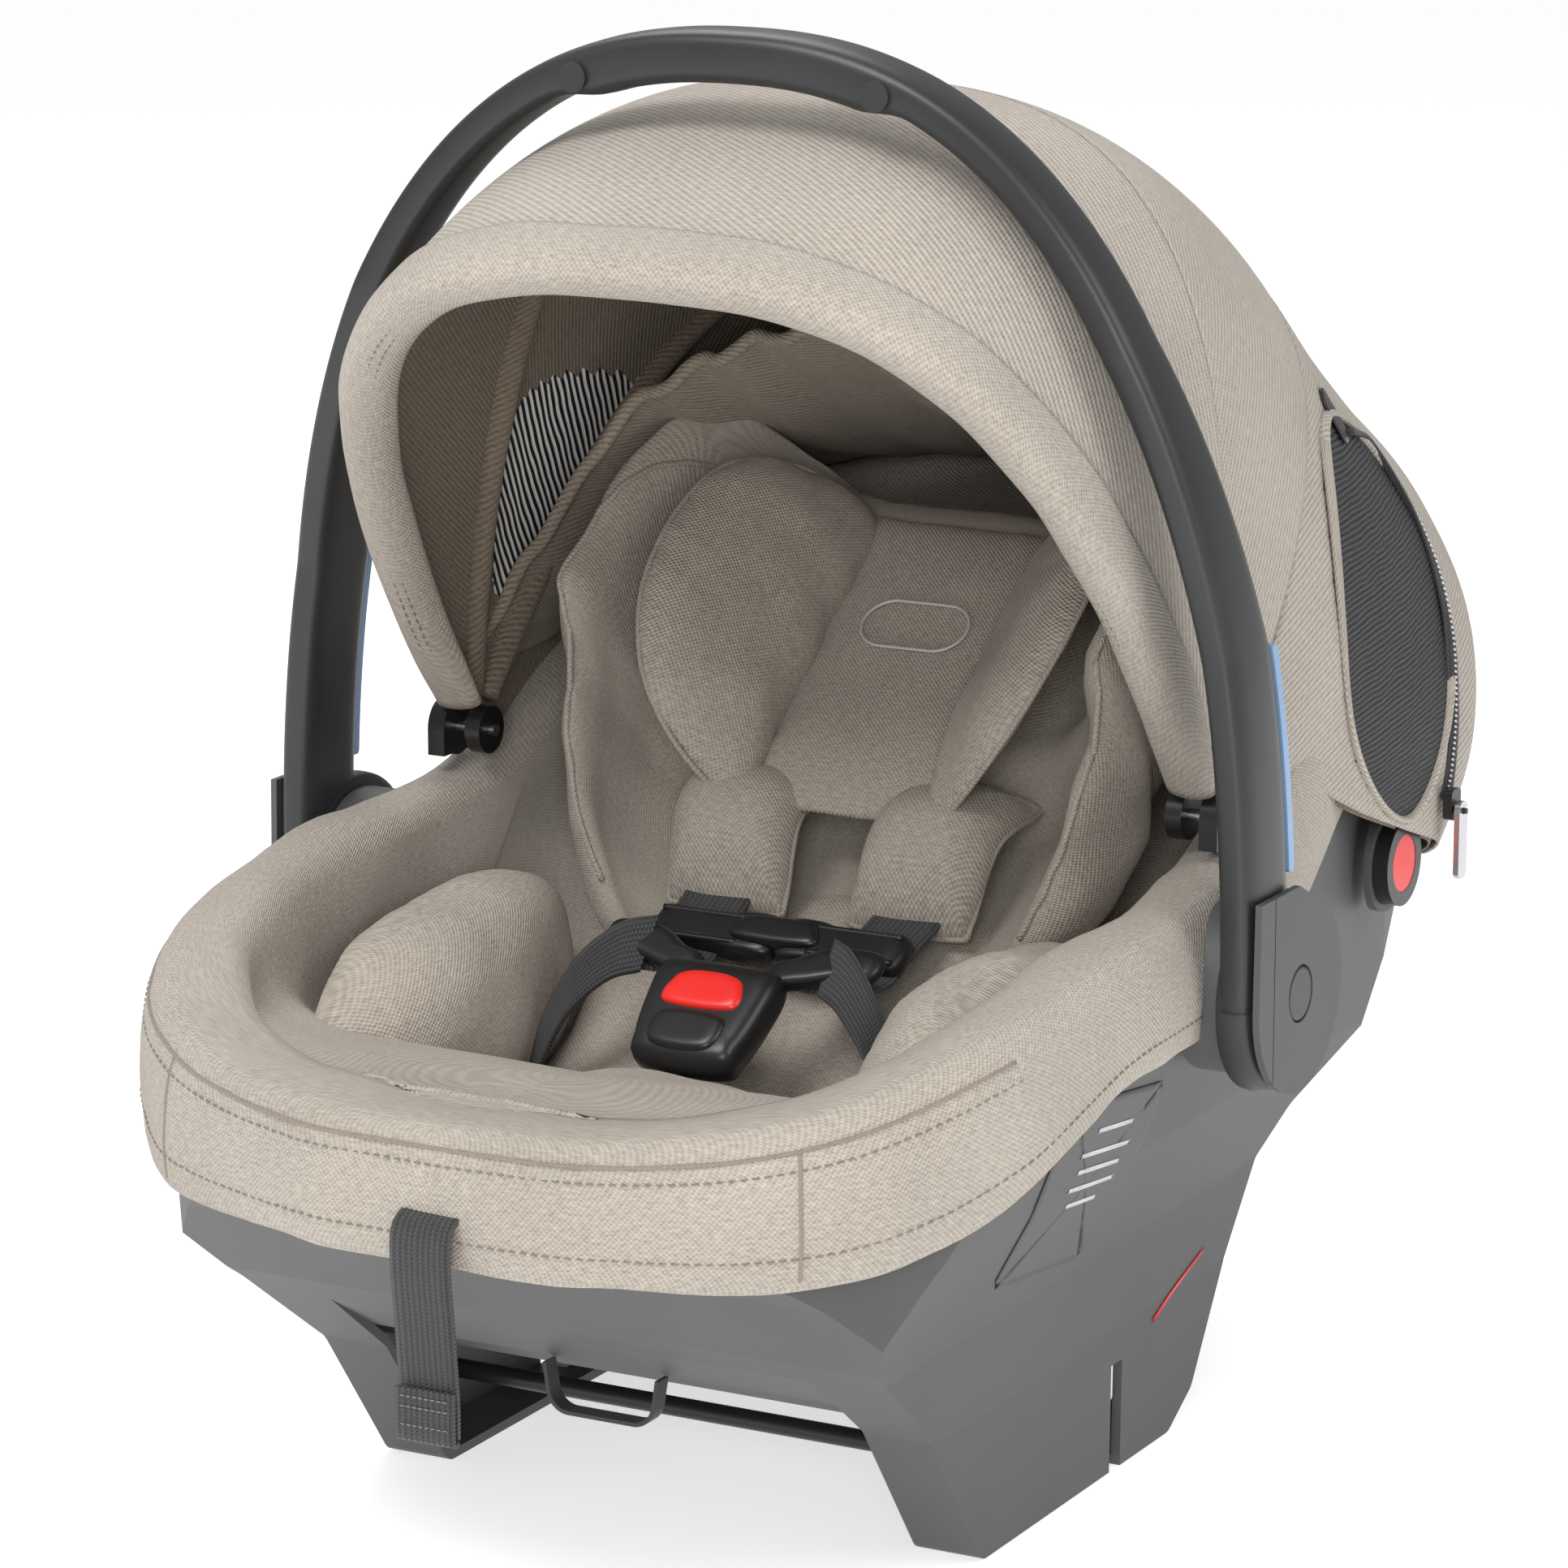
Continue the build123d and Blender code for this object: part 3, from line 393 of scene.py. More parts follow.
def tube(name, path, radius, material, sides=10, count=None, closed=False, flat=1.0):
    """A round piping along a path, with closed ends."""
    count = count or max(8, 6 * len(path))
    line = evenly(path, count, closed)
    tangent = np.gradient(line, axis=0)
    if closed:
        tangent = np.roll(line, -1, 0) - np.roll(line, 1, 0)
    tangent /= np.linalg.norm(tangent, axis=1)[:, None]
    up = np.array((0.13, 0.21, 0.97))
    one = np.cross(tangent, up)
    one /= np.linalg.norm(one, axis=1)[:, None]
    two = np.cross(one, tangent)
    angles = np.linspace(0, 2 * math.pi, sides, endpoint=False)
    rows = [line + radius * (math.cos(a) * one + flat * math.sin(a) * two) for a in angles]
    rows = np.stack(rows, 1)
    if closed:
        rows = np.concatenate([rows, rows[:1]], 0)
        return surface(name, rows, material, around=True, weld=0.001)
    ends = [np.tile(line[k], (sides, 1))[None] for k in (0, -1)]
    rows = np.concatenate([ends[0], rows, ends[1]], 0)
    return face_out(surface(name, rows, material, around=True, weld=0.001))


def join(name, pieces):
    """Joins pieces of one material into one named object."""
    bpy.ops.object.select_all(action="DESELECT")
    for piece in pieces:
        for modifier in list(piece.modifiers):
            bpy.context.view_layer.objects.active = piece
            bpy.ops.object.modifier_apply(modifier=modifier.name)
    for piece in pieces:
        piece.select_set(True)
    bpy.context.view_layer.objects.active = pieces[0]
    bpy.ops.object.join()
    pieces[0].name = name
    return pieces[0]


def stitches(name, path, body, pitch=4.4, length=2.9, radius=0.42,
             material=None):
    """A row of sewn stitches along a path: one short, slightly raised thread after another."""
    line = evenly(path, 400)
    s = along(line)
    number = int(s[-1] / pitch)
    verts, faces = [], []
    for k in range(number):
        at = [(k + 0.5) * pitch + d * length for d in (-0.5, -0.25, 0.25, 0.5)]
        spine = np.stack([np.interp(at, s, line[:, c]) for c in range(3)], 1)
        run = spine[3] - spine[0]
        run /= np.linalg.norm(run)
        one = np.cross(run, (0.3, 0.2, 0.93))
        one /= np.linalg.norm(one)
        two = np.cross(one, run)
        base = len(verts)
        for p, r in zip(spine, (0.35, 1.0, 1.0, 0.35)):
            for a in range(6):
                turn = math.pi * a / 3
                verts.append((p + radius * r * (math.cos(turn) * one + math.sin(turn) * two)) * MM)
        for i in range(3):
            for a in range(6):
                b = (a + 1) % 6
                faces.append((base + 6 * i + a, base + 6 * i + b, base + 6 * i + 6 + b,
                              base + 6 * i + 6 + a))
        faces.append(tuple(base + a for a in range(5, -1, -1)))
        faces.append(tuple(base + 18 + a for a in range(6)))
    mesh = bpy.data.meshes.new(name)
    mesh.from_pydata([tuple(v) for v in verts], [], faces)
    mesh.uv_layers.new(name="UVMap")
    mesh.polygons.foreach_set("use_smooth", [True] * len(mesh.polygons))
    mesh.materials.append(material or THREAD)
    obj = bpy.data.objects.new(name, mesh)
    bpy.context.scene.collection.objects.link(obj)
    return finish(obj, body) if body else obj


# ---------------------------------------------------------------- camera, light and floor
def look_along(azimuth, elevation):
    az, el = math.radians(azimuth), math.radians(elevation)
    return Vector((math.sin(az) * math.cos(el), -math.cos(az) * math.cos(el), math.sin(el)))


def add_camera():
    camera = bpy.data.objects.new("camera", bpy.data.cameras.new("camera"))
    camera.data.lens = 139.75
    camera.data.sensor_width = 36
    camera.data.shift_x = -0.016
    camera.data.shift_y = 0.0305
    back = look_along(28.2, 13.72)
    camera.location = Vector((0, -0.040, 0.250)) + 2.441 * back
    camera.rotation_euler = back.to_track_quat("Z", "Y").to_euler()
    bpy.context.scene.collection.objects.link(camera)
    bpy.context.scene.camera = camera


def area_light(name, azimuth, elevation, distance, size, power):
    light = bpy.data.lights.new(name, "AREA")
    light.shape = "DISK"
    light.size = size
    light.energy = power
    obj = bpy.data.objects.new(name, light)
    back = look_along(azimuth, elevation)
    obj.location = Vector((0, 0, 0.25)) + distance * back
    obj.rotation_euler = back.to_track_quat("Z", "Y").to_euler()
    bpy.context.scene.collection.objects.link(obj)


def add_studio():
    area_light("key", -14, 56, 2.6, 1.3, 40)
    area_light("side", 84, 34, 2.6, 1.4, 17)
    area_light("rim", -140, 50, 2.8, 1.4, 18)
    area_light("front", 24, 14, 3.0, 1.2, 27)
    world = bpy.data.worlds.new("studio")
    world.use_nodes = True
    world.node_tree.nodes["Background"].inputs[0].default_value = (1.0, 1.0, 1.0, 1)
    world.node_tree.nodes["Background"].inputs[1].default_value = 0.40
    bpy.context.scene.world = world
    bpy.context.scene.view_settings.view_transform = "Standard"
    half = 6.0
    rows = [[(x * 1000, y * 1000, 0) for x in (-half, half)] for y in (-half, half)]
    paper = Look("floor_paper", 0.9, (0.84, 0.84, 0.84))
    fibres = paper.node("ShaderNodeTexNoise", {"Scale": 900.0})[0]
    paper.bump(fibres, 0.2, 0.00002)
    paper.bsdf.inputs["Specular IOR Level"].default_value = 0.1
    paper.bsdf.inputs["Emission Color"].default_value = (1.0, 1.0, 1.0, 1)
    paper.bsdf.inputs["Emission Strength"].default_value = 0.62
    floor = surface("floor", rows, paper.mat)
    floor.location.z = -0.0003


# ---------------------------------------------------------------- seat cover
# half of the rim from the foot end to the head end. A station has the rim's x, y and crest, the
# hem's height, how far the roll bulges out, and y and z of the middle of the seat beside it.
COVER_STATIONS = [
    (0, -322, 203, 150, 8, -302, 201),
    (60, -318, 204, 150, 9, -290, 201),
    (110, -302, 210, 151, 10, -274, 200),
    (145, -275, 220, 155, 12, -250, 199),
    (168, -240, 233, 166, 13, -224, 196),
    (180, -195, 241, 185, 13, -198, 187),
    (184, -140, 248, 200, 11, -172, 158),
    (184, -80, 251, 200, 9, -148, 122),
    (181, -20, 258, 205, 7, -116, 98),
    (176, 40, 284, 222, 6, -62, 133),
    (168, 100, 311, 250, 6, 10, 187),
    (157, 160, 330, 272, 6, 82, 241),
    (140, 215, 341, 285, 6, 142, 287),
    (112, 262, 346, 291, 6, 184, 316),
    (70, 288, 346, 292, 6, 208, 330),
    (0, 298, 346, 292, 6, 220, 336),
]
HALF_STATIONS = 110


def cover_stations():
    """The stations all round the rim, closed, with the outward direction of each."""
    half = catmull(COVER_STATIONS, HALF_STATIONS)
    half[0, 0] = half[-1, 0] = 0
    left = half[-2:0:-1] * (-1, 1, 1, 1, 1, 1, 1)
    ring = np.vstack([half, left])
    run = np.roll(ring[:, :2], -1, 0) - np.roll(ring[:, :2], 1, 0)
    run /= np.linalg.norm(run, axis=1)[:, None]
    outward = np.stack([run[:, 1], -run[:, 0]], 1)
    return ring, outward


RING, OUTWARD = cover_stations()


def cover_point(station, out, z):
    """A point at height z, out millimetres outside the rim's crest line."""
    x, y = RING[station, :2] + out * OUTWARD[station]
    return np.array((x, y, z))


def outer_profile(station):
    """(out, height) pairs from inside the hem, round its edge and up to the crest."""
    crest, hem, bulge = RING[station, 2:5]
    h = crest - hem
    return [(bulge - 8, hem + 9), (bulge - 5, hem + 1.5), (bulge - 2.5, hem - 0.4), (bulge, hem + 1.5),
            (bulge + 1.2, hem + 0.22 * h), (bulge + 1.0, hem + 0.45 * h),
            (bulge, hem + 0.68 * h), (0.72 * bulge, crest - 0.14 * h), (0.38 * bulge, crest - 2.2),
            (0, crest)]


def build_cover():
    rows = []
    for station in range(len(RING)):
        crest = RING[station, 2]
        spine_y, spine_z = RING[station, 5:]
        deep = ease((crest - spine_z) / 45.0)
        profile = outer_profile(station) + [(-8, crest + 1.5), (-15, crest + 1), (-21, crest - deep)]
        outer = catmull([cover_point(station, o, z) for o, z in profile], 40)
        rim = cover_point(station, -27, crest - 8 * deep)
        spine = np.array((0, spine_y, spine_z))
        power = 3.2 + 1.6 * deep if spine_y < -100 else 3.0
        inner = []
        for a in np.linspace(0, math.pi / 2, 26):
            x = rim[0] * math.cos(a) ** (2 / power)
            rest = spine + (rim - spine) * (1 - math.sin(a) ** (2 / power))
            inner.append((x, rest[1], rest[2]))
        rows.append(np.vstack([outer, inner]))
    rows = np.transpose(np.array(rows), (1, 0, 2))
    cover = surface("seat_cover_sewn", rows, COVER, around=True, weld=0.05)
    rumple(cover, 55, 2.6, 3.0)
    rumple(cover, 21, 0.9, 9.0)
    thicken(cover, 2.4)
    finish(cover, "seat", ["seat_cover"])
    return cover


def skin_of(obj):
    depsgraph = bpy.context.evaluated_depsgraph_get()
    return BVHTree.FromObject(obj, depsgraph)


def drop_on(tree, points, start, direction, lift):
    """The points moved along direction from outside onto a surface, then lifted off it."""
    d = Vector(direction).normalized()
    result = []
    for p in points:
        origin = Vector(p) * MM - d * start * MM
        hit, normal, _, _ = tree.ray_cast(origin, d)
        if hit is None:
            hit = Vector(p) * MM
        result.append(np.array((hit - d * lift * MM)) / MM)
    return np.array(result)


def snap(tree, points, lift):
    """The points moved to the nearest place on a surface, then lifted off it."""
    result = []
    for p in points:
        hit, normal, _, _ = tree.find_nearest(Vector(p) * MM)
        result.append(np.array(hit + normal * lift * MM) / MM)
    return np.array(result)


def rim_path(first, last, out, lift, share):
    """A path along the cover's outside: out and the share of the height from hem to crest."""
    points = []
    for station in range(first, last):
        s = station % len(RING)
        crest, hem, bulge = RING[s, 2:5]
        points.append(cover_point(s, out * bulge + lift, hem + share * (crest - hem)))
    return np.array(points)[::3]


def build_cover_seams(tree):
    """The lip's front seam with its piping, a row of stitches below it, and a row of stitches along the
    hem.
    """
    seam = snap(tree, rim_path(-34, 35, 0.8, 3, 0.84), 0.1)
    finish(tube("lip_seam_piping", seam, 0.8, THREAD, 8, 160), "seat")
    stitches("lip_seam_stitches", snap(tree, rim_path(-33, 34, 1, 3, 0.73), 0.15), "seat")
    stitches("hem_stitches", snap(tree, rim_path(-60, 61, 1, 3, 0.2), 0.15), "seat")


# ---------------------------------------------------------------- canopy
def bow(angle, reach, half, count, lowest=0.0, power=3.0):
    """Points of a bow that stands up from the canopy's hinge at an angle above the foot end."""
    first = math.asin(min(1.0, (lowest / reach) ** (power / 2)))
    a = np.linspace(first, math.pi - first, count)
    x = -half * np.sign(np.cos(a)) * np.abs(np.cos(a)) ** (2 / power)
    r = reach * np.sin(a) ** (2 / power)
    ang = math.radians(angle)
    return np.stack([x, HINGE[1] - r * math.cos(ang), HINGE[2] + r * math.sin(ang)], 1)


def even_bow(angle, reach, half, count, lowest=0.0):
    return evenly(bow(angle, reach, half, 6 * count, lowest), count)


CANOPY_HALF, CANOPY_R = 173.0, 277.0
ACROSS_COUNT = 150
HINGE_CLEAR = 30.0  # the fabric's lower ends stop this far from the hinge


def section(first, last, steps, inset=0.0, sag=0.012):
    """Rows of the canopy between two bow angles, sagging a little between the bows."""
    rows = []
    for k in range(steps + 1):
        f = k / steps
        dip = 1 - sag * math.sin(math.pi * f)
        rows.append(even_bow(first + (last - first) * f, (CANOPY_R - inset) * dip,
                             CANOPY_HALF - inset * 0.8, ACROSS_COUNT, HINGE_CLEAR))
    return np.array(rows)


def angular_blend(obj):
    """Bakes a canopy piece's placement into its mesh and reads its points back in millimetres."""
    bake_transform(obj)
    co = np.empty(3 * len(obj.data.vertices))
    obj.data.vertices.foreach_get("co", co)
    co = co.reshape(-1, 3) / MM


def build_canopy_front():
    sheet = surface("canopy_front_cloth", section(FRONT_ANGLE, MID_ANGLE, 46), CANOPY, thick=1.2)
    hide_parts("canopy_front_panel")
    angular_blend(sheet)
    lining = surface("canopy_front_lining", section(FRONT_ANGLE + 5, MID_ANGLE, 40, 6.5, 0.02),
                     LINING, thick=0.8)
    angular_blend(lining)


def build_canopy_mid():
    rows = section(MID_ANGLE, REAR_ANGLE, 36, 0.0, 0.014)
    sheet = surface("canopy_mid_cloth", rows, CANOPY, thick=1.2)
    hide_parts("canopy_mid_panel")
    angular_blend(sheet)
    rows = section(MID_ANGLE, REAR_ANGLE, 30, 6.5, 0.03)
    lining = surface("canopy_mid_lining", rows, LINING, thick=0.8)
    angular_blend(lining)
    net = surface("canopy_mid_net", section(MID_ANGLE + 1, REAR_ANGLE - 1, 120, 7.8, 0.03), NET_IN)
    keep_faces(net, [(4, 404), (44, 412), (92, 398), (74, 366), (30, 338), (-4, 322), (-6, 360)], 90)
    angular_blend(net)


# the visor's band: (radius less the canopy's, millimetres forward of the front bow)
VISOR = [(0.6, -16), (1.8, -9), (2.4, -2), (1.6, 4), (-1.5, 8), (-6, 9), (-11, 7.5), (-15, 4), (-17, 0),
         (-17.5, -3), (-16, -5), (-12, -4.5), (-8, -5), (-6, -9)]


def visor_row(offset, forward):
    """The visor's points at one place of its band: round the bow, turned towards the front."""
    line = even_bow(FRONT_ANGLE, CANOPY_R + offset, CANOPY_HALF + offset * 0.92, ACROSS_COUNT, 15)
    ang = math.radians(FRONT_ANGLE)
    out = (line[:, 2] - HINGE[2]) / math.sin(ang)
    fade = ease(out / 70.0) * 0.75 + 0.25
    turn = np.array((0, -math.sin(ang), -math.cos(ang)))
    return line + forward * fade[:, None] * turn


def build_visor():
    profile = catmull(VISOR, 44)
    rows = np.array([visor_row(o, f) for o, f in profile])
    visor = surface("visor_band", rows, COVER)
    rumple(visor, 34, 1.2, 5.0)
    finish(visor, "canopy_front", ["visor_binding", "canopy_front_bow"])
    thicken(visor, 1.2)
    stitches("visor_stitches_inner", visor_row(-11.5, 7.9)[4:-4], "canopy_front")
    stitches("visor_stitches_outer", visor_row(-8.2, 9.2)[4:-4], "canopy_front")


def build_bow_sleeves():
    """The lining's sleeve over the middle bow, and the bow's arms that come down to the hinge."""
    for name, angle, body, nodes in (("mid_bow_sleeve", MID_ANGLE, "canopy_mid", ["canopy_mid_bow"]),
                                     ("rear_bow_sleeve", REAR_ANGLE, "seat", ["canopy_rear_bow"])):
        line = bow(angle, CANOPY_R - 8, CANOPY_HALF - 7, 90, 16)
        sleeve = tube(name, line, 6.5, LINING, 14, 200, flat=0.8)
        finish(sleeve, body, nodes)


# arches of the rear tent: middle of the base (y, z), half-width, top of the arch (y, z), power
TENT_ARCHES = [
    (-28, 273, 173, 160.2, 474.9, 3.0),
    (30, 258, 180, 202, 441, 2.8),
    (78, 240, 185, 249, 413, 2.6),
    (122, 226, 187, 296, 383, 2.5),
    (165, 214, 185, 328, 345, 2.4),
    (205, 200, 164, 332, 300, 2.4),
    (236, 192, 134, 320, 255, 2.5),
    (254, 186, 110, 298, 218, 2.6),
    (262, 183, 98, 274, 190, 2.6),
]
WINDOW = [(112, 398), (172, 392), (210, 352), (196, 290), (134, 240), (84, 288)]


def tent_rows(inset=0.0, steps=110, columns=180):
    arches = catmull(TENT_ARCHES, steps)
    rows = []
    for base_y, base_z, half, top_y, top_z, power in arches:
        base = np.array((0, base_y, base_z))
        top = np.array((0, top_y, top_z))
        rise = top - base
        rise *= 1 - inset / np.linalg.norm(rise)
        a = np.linspace(0.004, math.pi - 0.004, 500)
        x = -(half - inset) * np.sign(np.cos(a)) * np.abs(np.cos(a)) ** (2 / power)
        s = np.sin(a) ** (2 / power)
        line = base + s[:, None] * rise
        line[:, 0] = x
        rows.append(evenly(line[::5], columns))
    return np.array(rows)


def inside(points, outline):
    """Which (y, z) points lie inside a closed outline."""
    edge = evenly(outline, 90, closed=True)
    y, z = points[:, 0], points[:, 1]
    odd = np.zeros(len(points), bool)
    for (y0, z0), (y1, z1) in zip(edge, np.roll(edge, -1, 0)):
        crosses = (z0 > z) != (z1 > z)
        with np.errstate(divide="ignore", invalid="ignore"):
            at = (y1 - y0) * (z - z0) / (z1 - z0) + y0
        odd ^= crosses & (y < at)
    return odd


def keep_faces(obj, outline, least_x, inner=True):
    """Keeps a cloth's faces inside an outline of (y, z) on both sides, or those outside it."""
    mesh = obj.data
    centres = np.array([f.center[:] for f in mesh.polygons]) / MM
    chosen = inside(centres[:, 1:], outline) & (np.abs(centres[:, 0]) > least_x)
    bm = bmesh.new()
    bm.from_mesh(mesh)
    bm.faces.ensure_lookup_table()
    gone = [f for f, k in zip(bm.faces, chosen) if k != inner]
    bmesh.ops.delete(bm, geom=gone, context="FACES")
    bm.to_mesh(mesh)
    bm.free()


def split_window(obj, name, material):
    """Takes the faces inside the side windows out of a cloth and makes the netting from them."""
    copy = obj.copy()
    copy.data = obj.data.copy()
    copy.name = name
    bpy.context.scene.collection.objects.link(copy)
    keep_faces(obj, WINDOW, 90, False)
    keep_faces(copy, WINDOW, 90)
    copy.data.materials.clear()
    copy.data.materials.append(material)
    return copy


def build_tent():
    outer = surface("canopy_rear_cloth", tent_rows(), CANOPY)
    rumple(outer, 70, 2.2, 1.0)
    net = split_window(outer, "window_net_outer", NET_OUT)
    lining = surface("canopy_rear_lining", tent_rows(5.0), LINING)
    net_in = split_window(lining, "window_net_inner", NET)
    for piece, thickness in ((outer, 1.3), (lining, 0.8)):
        thicken(piece, thickness)
    finish(outer, "seat", ["canopy_rear_panel"])
    finish(lining, "seat")
    finish(net, "seat", ["mesh_windows"])
    finish(net_in, "seat")


def on_tent_side(tree, outline, side, lift):
    """(y, z) points put on the tent's side from outside."""
    points = [(side * 170, y, z) for y, z in outline]
    return drop_on(tree, points, 90, (-side, 0, 0), lift)


def build_window_edges(whole_tree):
    for name, side in SIDES:
        edge = on_tent_side(whole_tree, evenly(WINDOW, 60, closed=True), side, 0.2)
        binding = tube(f"window_binding_{name}", edge, 2.6, CANOPY, 10, 150, closed=True, flat=0.6)
        finish(binding, "seat")


def build_zips(tree):
    """The zip down each side of the tent: two tapes of teeth that end in the slider."""
    route = [(150, 396), (186, 385), (208, 352), (205, 315), (192, 282), (176, 252), (168, 241)]
    for name, side in SIDES:
        line = on_tent_side(tree, evenly(route, 60), side, 0.8)
        tape = tube(f"zip_tape_{name}", line, 3.4, WEBBING, 8, 120, flat=0.4)
        teeth = line + np.array((side * 1.6, 0, 0))
        finish(tape, "seat", ["zipper"] if side > 0 else [])
        stitches(f"zip_teeth_{name}", teeth, "seat", 2.4, 1.5, 0.9, STEEL)


def build_curtain():
    """The lining gathered on its elastic hem, from the canopy down to the seat's head end."""
    low = [(-168, 60, 302), (-156, 110, 330), (-138, 160, 346), (-106, 205, 354), (-60, 228, 356),
           (0, 236, 356)]
    high = [(-170, -14, 303), (-162, 6, 332), (-150, 26, 361), (-122, 35, 402), (-62, 36, 434),
            (0, 33, 442)]
    low += [(-x, y, z) for x, y, z in low[-2::-1]]
    high += [(-x, y, z) for x, y, z in high[-2::-1]]
    a, b = evenly(low, 300), evenly(high, 300)
    rows = []
    for w in np.linspace(0, 1, 26):
        line = a + (b - a) * w
        pull = 0.25 + w ** 1.5
        s = along(a)
        fold = 2.6 * np.sin(s / 6.4 + 1.3 * np.sin(s / 31)) * pull
        fold += 3.2 * np.sin(s / 19 + 3 * w) * math.sin(math.pi * w)
        line = line + fold[:, None] * np.array((0, 0.35, 0.75))
        line[:, 2] += -9 * math.sin(math.pi * w)
        line[:, 1] += -6 * math.sin(math.pi * w)
        rows.append(line)
    curtain = surface("canopy_gathered_lining", rows, FOLDS, thick=0.8, grow=0.0)
    finish(curtain, "seat")
    hem = tube("canopy_elastic_hem", rows[-1][::5], 3.0, FOLDS, 10, 280)
    finish(hem, "seat")


# ---------------------------------------------------------------- handle
HANDLE_OUT, HANDLE_RISE, HANDLE_POWER = 219.0, 362.0, 2.34


def handle_line(count):
    a = np.linspace(0, math.pi, 900)
    x = HANDLE_OUT * np.sign(np.cos(a)) * np.abs(np.cos(a)) ** (2 / HANDLE_POWER)
    z = PIVOT_Z + HANDLE_RISE * np.sin(a) ** (2 / HANDLE_POWER)
    return evenly(np.stack([x, 0 * x, z], 1)[::10], count)


def build_handle():
    """The arch: a hollow-looking bar with a crowned outer face, rounded edges and a fuller grip."""
    line = handle_line(260)
    tangent = np.gradient(line, axis=0)
    tangent /= np.linalg.norm(tangent, axis=1)[:, None]
    inward = np.stack([tangent[:, 2], 0 * tangent[:, 0], -tangent[:, 0]], 1)
    inward *= -1
    rows = []
    for p, n in zip(line, inward):
        z = p[2]
        front = np.interp(z, (350, 470, 600), (-95, -108, -110))
        rear = np.interp(z, (352, 470, 600), (-55.2, -79, -82))
        grip = ease((84 - abs(p[0])) / 24) if z > 400 else 0.0
        thick = 14.0 + 5.5 * grip
        mid, half = (front + rear) / 2, (rear - front) / 2
        row = []
        for a in np.linspace(0, 2 * math.pi, 40, endpoint=False):
            c, s = math.cos(a), math.sin(a)
            y = mid + half * math.copysign(abs(c) ** 0.42, c)
            depth = 0.5 - 0.5 * math.copysign(abs(s) ** 0.5, s)
            crown = 1.3 * (1 - ((y - mid) / half) ** 2) if s > 0 else 0.0
            where = p + n * (1.3 + thick * depth - crown)
            row.append((where[0], y, where[2]))
        rows.append(row)
    rows = np.array(rows)
    ends = [np.tile(rows[k].mean(axis=0), (40, 1))[None] for k in (0, -1)]
    arch = face_out(surface("handle_bar", np.concatenate([ends[0], rows, ends[1]]), HANDLE,
                            around=True, weld=0.001))
    bosses = []
    for _, s in SIDES:
        # (distance from the pivot, distance inside the outer face)
        profile = catmull([(0, 0.4), (26, 0.4), (34, 1.0), (38.2, 3.2), (39.4, 7), (39.4, 13),
                           (37.8, 15.6), (30, 16), (0, 16)], 46)
        rows = []
        for r, d in profile:
            turn = np.linspace(0, 2 * math.pi, 72, endpoint=False)
            rows.append(np.stack([0 * turn + s * (HANDLE_OUT - d), PIVOT_Y + r * np.cos(turn),
                                  PIVOT_Z + r * np.sin(turn)], 1))
        bosses.append(face_out(surface("boss", rows, HANDLE, around=True, weld=0.01)))
    handle = join("handle_moulding", [arch] + bosses)
    finish(handle, "handle", ["handle_arch"])


# ---------------------------------------------------------------- cushions
def back_place(x0=0.0, t0=0.0, n0=0.0, tilt=0.0, side=1):
    """A pad's place on the backrest, rolled by tilt degrees about the back's own long axis."""
    c, s = math.cos(math.radians(tilt)), math.sin(math.radians(tilt))

    def place(u, v, n):
        return on_back(side * (x0 + u * c - n * s), t0 + v, n0 + u * s + n * c)

    return place


